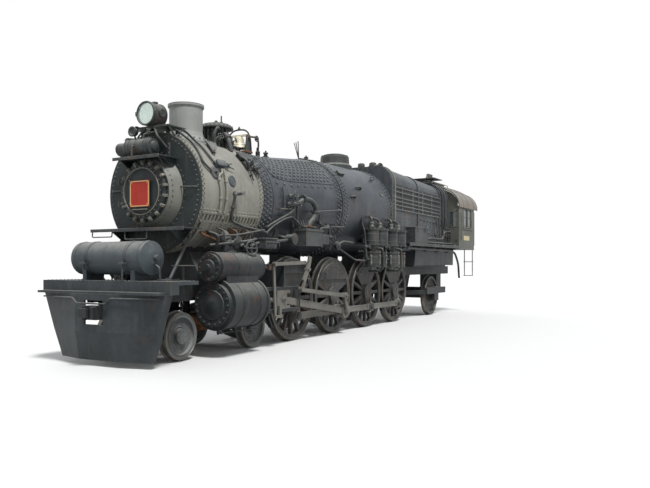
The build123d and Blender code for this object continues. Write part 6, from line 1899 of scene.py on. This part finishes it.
@dataclass
class FrontEndDress(Dress):
    """Pilot, deck and air tank details."""

    deck: float = 1.4
    tank_axis: Pair = (-0.93, 1.78)

    @staticmethod
    def _nose(side: float) -> float:
        """Where the pilot's face stands at a distance to the side."""
        return -1.45 + 0.18 * max(0.0, abs(side) - 0.43) / 0.97

    def pilot(self) -> None:
        """Rivet rows of the deck and the lift lever across the pilot."""
        work = self.shape("pilot_fittings", DECK_GREY)
        level = self.deck - 0.002
        for start, end, count in (((-1.2, -1.4), (-1.2, 1.4), 34), ((-0.6, -1.4), (-0.6, 1.4), 34),
                                  ((-1.16, -1.44), (-0.64, -1.44), 7), ((-1.16, 1.44), (-0.64, 1.44), 7)):
            work.studs((*start, level), (*end, level), count, UP, 0.013)
        work.tube([(self._nose(y) - 0.055, y, 1.03 if abs(y) == 0.34 else 1.12)
                   for y in (-1.34, -1.0, -0.6, -0.42, -0.34, 0.34, 0.42, 0.6, 1.0, 1.34)], 0.014, 0.05, 8)
        for y in (-1.2, -1.0, -0.6, 0.6, 1.0, 1.2):
            work.bar((self._nose(y) + 0.01, y, 1.12), (self._nose(y) - 0.055, y, 1.12), 0.014, 8)

    def tank(self) -> None:
        """Seams, straps and drain of the air tank across the deck."""
        work, strap = self.shape("air_tank_bands", TANK_GREY), self.shape("air_tank_straps", DECK_GREY)
        s, h = self.tank_axis
        for y in (-0.72, 0.72):
            work.hoop((s, y, h), RIGHT, 0.286, 0.008, 56, 6)
        for y in (-0.45, 0.45):
            strap.band(((y - 0.035, 0.282), (y - 0.035, 0.293), (y + 0.035, 0.293), (y + 0.035, 0.282)),
                       lambda side, radius: ring(at(s, side, h), BACK, UP, radius, 64))
            for ds in (-0.32, 0.32):
                strap.bar((s + ds, y, self.deck), (s + ds, y, self.deck + 0.36), 0.014, 8)
                strap.stud((s + ds, y, self.deck + 0.3), UP, 0.026, Stud.NUT)
                strap.block((s + ds - 0.05, y - 0.05, self.deck + 0.27),
                            (s + ds * 0.8, y + 0.05, self.deck + 0.3), 0.004)
        strap.turned((s, -0.87, h), LEFT, ((0, 0.04), (0.04, 0.04), (0.045, 0.055), (0.07, 0.05),
                                           (0.075, 0.02)), 10)
        strap.tube([(s, 0.88, 1.66), (s, 1.0, 1.66), (-0.8, 1.05, 1.62), (-0.5, 1.05, 1.5),
                    (-0.4, 1.05, 1.36)], 0.022, 0.06)
        strap.tube([(s, -0.88, 1.66), (s, -0.96, 1.62), (s, -0.98, 1.4)], 0.02, 0.05)


@dataclass
class BoardDress(Dress):
    """Edges, posts, handrails and chest of the running boards, and the pipes under them."""

    height: float = 2.3
    out: float = 1.5
    rear: float = 13.19
    chest: float = 9.25
    starts: Pair = (8.74, 6.17)

    def boards(self) -> None:
        """Both boards, one after the other."""
        for work, start in zip(self.pair("running_board_fittings"), self.starts):
            rear, chest = self.rear, self.chest
            count = int((rear - start) / 0.16)
            for i in range(count):
                work.stud((start + 0.05 + (rear - start - 0.1) * i / (count - 1), self.out + 0.0195,
                           self.height - 0.045), OUT, 0.009)
            s = start + 0.06
            while s < rear - 0.05:
                for ds in (0.03, -0.03):
                    work.stud((s + ds, self.out - 0.03, self.height - 0.001), UP, 0.013, Stud.BOLT)
                s += 1.08
            work.tube([(start, 1.42, 2.14), (rear - 0.6, 1.42, 2.12), (rear - 0.2, 1.44, 2.06),
                       (rear + 0.1, 1.46, 1.7), (rear + 0.2, 1.46, 1.2)], 0.035, 0.15)
            for s in (start + 0.6, start + 1.7, start + 2.8, start + 3.7):
                work.bar((s, 1.42, 2.16), (s, 1.42, 2.275), 0.014, 8)
            work.tube([(10.5, 1.3, 2.36), (12.0, 1.3, 2.36), (13.18, 1.3, 2.36)], 0.028, 0.1)
            for s in (10.52, 11.3, 12.1, 12.9):
                work.block((s, 1.27, 2.298), (s + 0.05, 1.33, 2.37), 0.005)
            for s in (chest + 0.05, chest + 0.35, chest + 0.7, chest + 1.0):
                for h in (2.36, 2.7):
                    work.stud((s, 1.4695, h), OUT, 0.011)
            work.block((chest - 0.012, 1.19, 2.742), (chest + 1.062, 1.482, 2.776), 0.006)
            for s in (chest + 0.2, chest + 0.8):
                work.block((s, 1.468, 2.64), (s + 0.07, 1.484, 2.76))


@dataclass
class CabDress(Dress):
    """Window frames, gutters, rivets, grab irons and roof seams of the cab."""

    front: float = 13.2
    rear: float = 14.95
    half: float = 1.52
    windows: tuple[Pair, Pair] = ((13.69, 14.12), (14.17, 14.6))
    sill: float = 2.98
    head: float = 3.6
    roof_half: float = 1.556
    roof_foot: float = 3.64
    roof_top: float = 4.56

    def walls(self) -> None:
        """Frames, sashes, rivet rows and gutter of the side walls."""
        front, rear, half, sill, head = self.front, self.rear, self.half, self.sill, self.head
        middle = sill + 0.32
        for work in self.pair("cab_side_trim", CAB_OLIVE):
            for s0, s1 in self.windows:
                for a, b, c, d in ((s0 - 0.03, s1 + 0.03, sill - 0.03, sill + 0.004),
                                   (s0 - 0.03, s1 + 0.03, head - 0.004, head + 0.03),
                                   (s0 - 0.03, s0 + 0.004, sill, head),
                                   (s1 - 0.004, s1 + 0.03, sill, head)):
                    work.block((a, half - 0.004, c), (b, half + 0.014, d))
                for a, b, c, d in ((s0, s1, middle, middle + 0.03), (s0, s0 + 0.03, sill, head),
                                   (s1 - 0.03, s1, sill, head), (s0, s1, head - 0.03, head)):
                    work.block((a, half - 0.03, c), (b, half - 0.014, d), 0.003)
            work.block((front + 0.4, half - 0.004, sill - 0.09), (rear - 0.3, half + 0.03, sill - 0.05),
                       0.008)
            for h in (2.27, 2.9, 3.645):
                work.studs((front + 0.06, half - 0.001, h), (rear - 0.06, half - 0.001, h), 17, OUT, 0.01)
            for s in (front + 0.03, rear - 0.03, 13.64, 14.66):
                work.studs((s, half - 0.001, 2.3), (s, half - 0.001, 3.62), 13, OUT, 0.01)
            s = front + 0.16
            work.tube([(s, 1.515, 2.5), (s, 1.56, 2.54), (s, 1.56, 3.4), (s, 1.515, 3.44)], 0.012, 0.03, 8)
            work.block((front + 0.02, 1.45, 2.2), (rear, 1.53, 2.235), 0.006)

    def panes(self) -> None:
        """The side windows' glass and the blank cream panels under them."""
        glass, panel = self.shape("cab_window_glass", PANE), self.shape("cab_blank_panels", CREAM)
        for panel.hand in glass.sides():
            for s0, s1 in self.windows:
                glass.block((s0 + 0.01, self.half - 0.025, self.sill),
                            (s1 - 0.01, self.half - 0.019, self.head - 0.01), 0.001)
            panel.block((13.73, 1.518, 2.51), (14.37, 1.526, 2.67), 0.003)

    def roof(self) -> None:
        """Seams, rivets and handrails of the roof, and the hatch's runners."""
        work, hatch = self.shape("cab_roof_trim", ROOF_BROWN), self.shape("cab_roof_hatch_trim")
        arc = self._outline()
        for s in (13.13, 13.62, 14.22, 14.85, 15.22):
            work.band(((s - 0.02, -0.004), (s - 0.02, 0.01), (s + 0.02, 0.01), (s + 0.02, -0.004)),
                      lambda x, lift: [(x, y * (1 + lift / 1.6), h + lift) for y, h in arc], False)
            for (y0, h0), (y1, h1) in zip(arc[::2], arc[2::2]):
                out = Vector((0, h0 - h1, y1 - y0)).normalized()
                if out.z < -0.2 or (out.z < 0 and out.y * y0 < 0):
                    out = -out
                work.stud(at(s, (y0 + y1) / 2, (h0 + h1) / 2) + out * 0.008, out, 0.012)
        for hatch.hand in work.sides():
            work.tube([(13.3, 0.5, 4.5), (13.36, 0.52, 4.58), (14.94, 0.52, 4.58), (15.0, 0.5, 4.5)],
                      0.012, 0.04, 8)
            for s in (13.8, 14.4):
                work.bar((s, 0.52, 4.46), (s, 0.52, 4.58), 0.011, 8)
            hatch.block((13.45, 0.4, 4.56), (14.85, 0.44, 4.6), 0.008)
            for s in (13.7, 14.15, 14.6):
                hatch.stud((s, 0.42, 4.598), UP, 0.016, Stud.NUT)

    def _outline(self) -> list[Pair]:
        """The roof's outer line from the right eave over the crown to the left one."""
        half, low = self.roof_half, self.roof_foot
        edge = (half - 0.43, low + 0.59)
        side = arc_through((half, low), (half - 0.09, low + 0.33), edge, 6)
        over = arc_through(edge, (0.0, self.roof_top), (-edge[0], edge[1]), 14)
        return side + over[1:-1] + [(-y, h) for y, h in side[::-1]]

    def front_wall(self) -> None:
        """Door window frames, rivets, grab irons and glass of the cab's front wall and doors."""
        front, inner, outer = self.front, 1.19, 1.42
        for hand, side in BOTH:
            body = f"cab_door_{side}"
            work = self.shape(f"{body}_trim", CAB_OLIVE, body, hand)
            for a, b, c, d in ((inner - 0.025, outer + 0.025, 2.955, 2.984),
                               (inner - 0.025, outer + 0.025, 3.476, 3.505),
                               (inner - 0.025, inner + 0.004, 2.98, 3.48),
                               (outer - 0.004, outer + 0.025, 2.98, 3.48)):
                work.block((front - 0.01, a, c), (front + 0.003, b, d), 0.003)
            for h in (2.37, 2.9):
                work.studs((front + 0.001, inner - 0.02, h), (front + 0.001, outer + 0.02, h), 5,
                           FORWARD, 0.009)
            work.tube([(front + 0.002, 1.17, 2.66), (front - 0.05, 1.17, 2.67), (front - 0.05, 1.17, 2.8),
                       (front + 0.002, 1.17, 2.81)], 0.009, 0.02, 8)
            glass = self.shape(f"{body}_glass", PANE, body, hand)
            glass.block((front + 0.003, inner - 0.004, 2.976), (front + 0.009, outer + 0.004, 3.484), 0.001)
        wall, arc = self.shape("cab_front_trim", CAB_OLIVE), self._outline()
        for (y0, h0), (y1, h1) in zip(arc[3:-3], arc[4:-3]):
            wall.stud((front + 0.001, (y0 + y1) / 2 * 0.955, (h0 + h1) / 2 - 0.07), FORWARD, 0.011)


@dataclass(frozen=True)
class Studio:
    """A plain pale floor, soft light and the camera at the photograph's place."""

    eye: Place = (-9.411, -8.757, 1.68)
    heading: float = 28.9
    focal: float = 680.0
    horizon: float = 264.0
    sensor: float = 36.0
    floor_half: float = 150.0

    @staticmethod
    def _link(name: str, data: bpy.types.ID) -> bpy.types.Object:
        """A new object in the scene."""
        made = bpy.data.objects.new(name, data)
        bpy.context.scene.collection.objects.link(made)
        return made

    def camera(self) -> None:
        """Sets the camera level, with a shift for the height of the horizon."""
        width, height = FRAME_SIZE
        lens = bpy.data.cameras.new("camera")
        lens.sensor_width = self.sensor
        lens.lens = self.sensor * self.focal / width
        lens.shift_y = (self.horizon - height / 2) / width
        lens.clip_end = 600.0
        camera = self._link("camera", lens)
        camera.location = at(*self.eye)
        camera.rotation_euler = (pi / 2, 0.0, radians(self.heading - 90.0))
        bpy.context.scene.camera = camera

    def lights(self) -> None:
        """A broad soft sun from the engine's left, a weak one from the front and one from its right."""
        for name, strength, spread, direction in (
                ("high sun", 3.0, 12.0, (0.25, 0.45, -0.86)),
                ("front fill", 0.25, 60.0, (0.85, 0.2, -0.35)),
                ("far side fill", 0.6, 60.0, (-0.3, -0.8, -0.45))):
            sun = bpy.data.lights.new(name, "SUN")
            sun.energy = strength
            sun.angle = radians(spread)
            self._link(name, sun).rotation_euler = Vector(direction).to_track_quat("-Z", "Y").to_euler()

    @staticmethod
    def _seen(nodes: Nodes) -> Socket:
        """1 on rays that show the backdrop: those of the camera, of mirrors and of glass."""
        path = nodes.add("ShaderNodeLightPath").outputs
        return nodes.math("MAXIMUM", path["Is Camera Ray"],
                          nodes.math("MAXIMUM", path["Is Glossy Ray"], path["Is Transmission Ray"]))

    def world(self) -> None:
        """A pale even sky, white where the camera sees it."""
        world = bpy.data.worlds.new("pale sky")
        bpy.context.scene.world = world
        world.use_nodes = True
        world.node_tree.nodes.clear()
        nodes = Nodes(world.node_tree)
        dim, white = (nodes.add("ShaderNodeBackground", {"Color": (*colour, 1.0), "Strength": strength})
                      for colour, strength in (((0.93, 0.96, 1.0), 0.42), ((1.0, 1.0, 1.0), 1.0)))
        mixed = nodes.add("ShaderNodeMixShader", {0: self._seen(nodes), 1: dim.outputs[0],
                                                  2: white.outputs[0]})
        nodes.add("ShaderNodeOutputWorld", {0: mixed.outputs[0]})

    def floor(self) -> None:
        """The floor that the wheels' flanges stand on."""
        half = self.floor_half
        mesh = bpy.data.meshes.new("floor")
        corners = [(-half, -half, 0.0), (half, -half, 0.0), (half, half, 0.0), (-half, half, 0.0)]
        mesh.from_pydata(corners, [], [(0, 1, 2, 3)])
        made = blank("pale floor")
        shader, nodes = made.node_tree.nodes["Principled BSDF"].inputs, Nodes(made.node_tree)
        nodes.fill(shader["Base Color"], nodes.mix(self._seen(nodes), (0.3, 0.3, 0.3), (0.78, 0.78, 0.77)))
        nodes.fill(shader["Roughness"], 0.9)
        mesh.materials.append(made)
        floor = self._link("floor", mesh)

    def build(self) -> None:
        """Sets the whole studio."""
        self.camera()
        self.lights()
        self.world()
        self.floor()
        bpy.context.scene.view_settings.view_transform = 'Standard'


def main() -> None:
    """Builds every sub-assembly in order and notes the sizes."""
    logging.basicConfig(level=logging.INFO, format="%(name)s: %(message)s")
    Studio().build()
    paint_nodes()
    for dress in (SmokeboxDress, FrontDress, LampDress, TopDress, BoilerDress, SidePipes, FireboxDress,
                  PumpDress, WheelDress, GearDress, FrontEndDress, BoardDress, CabDress):
        LOG.info("building %s", dress.__name__)
        dress().build()
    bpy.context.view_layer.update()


if __name__ == "__main__":
    main()
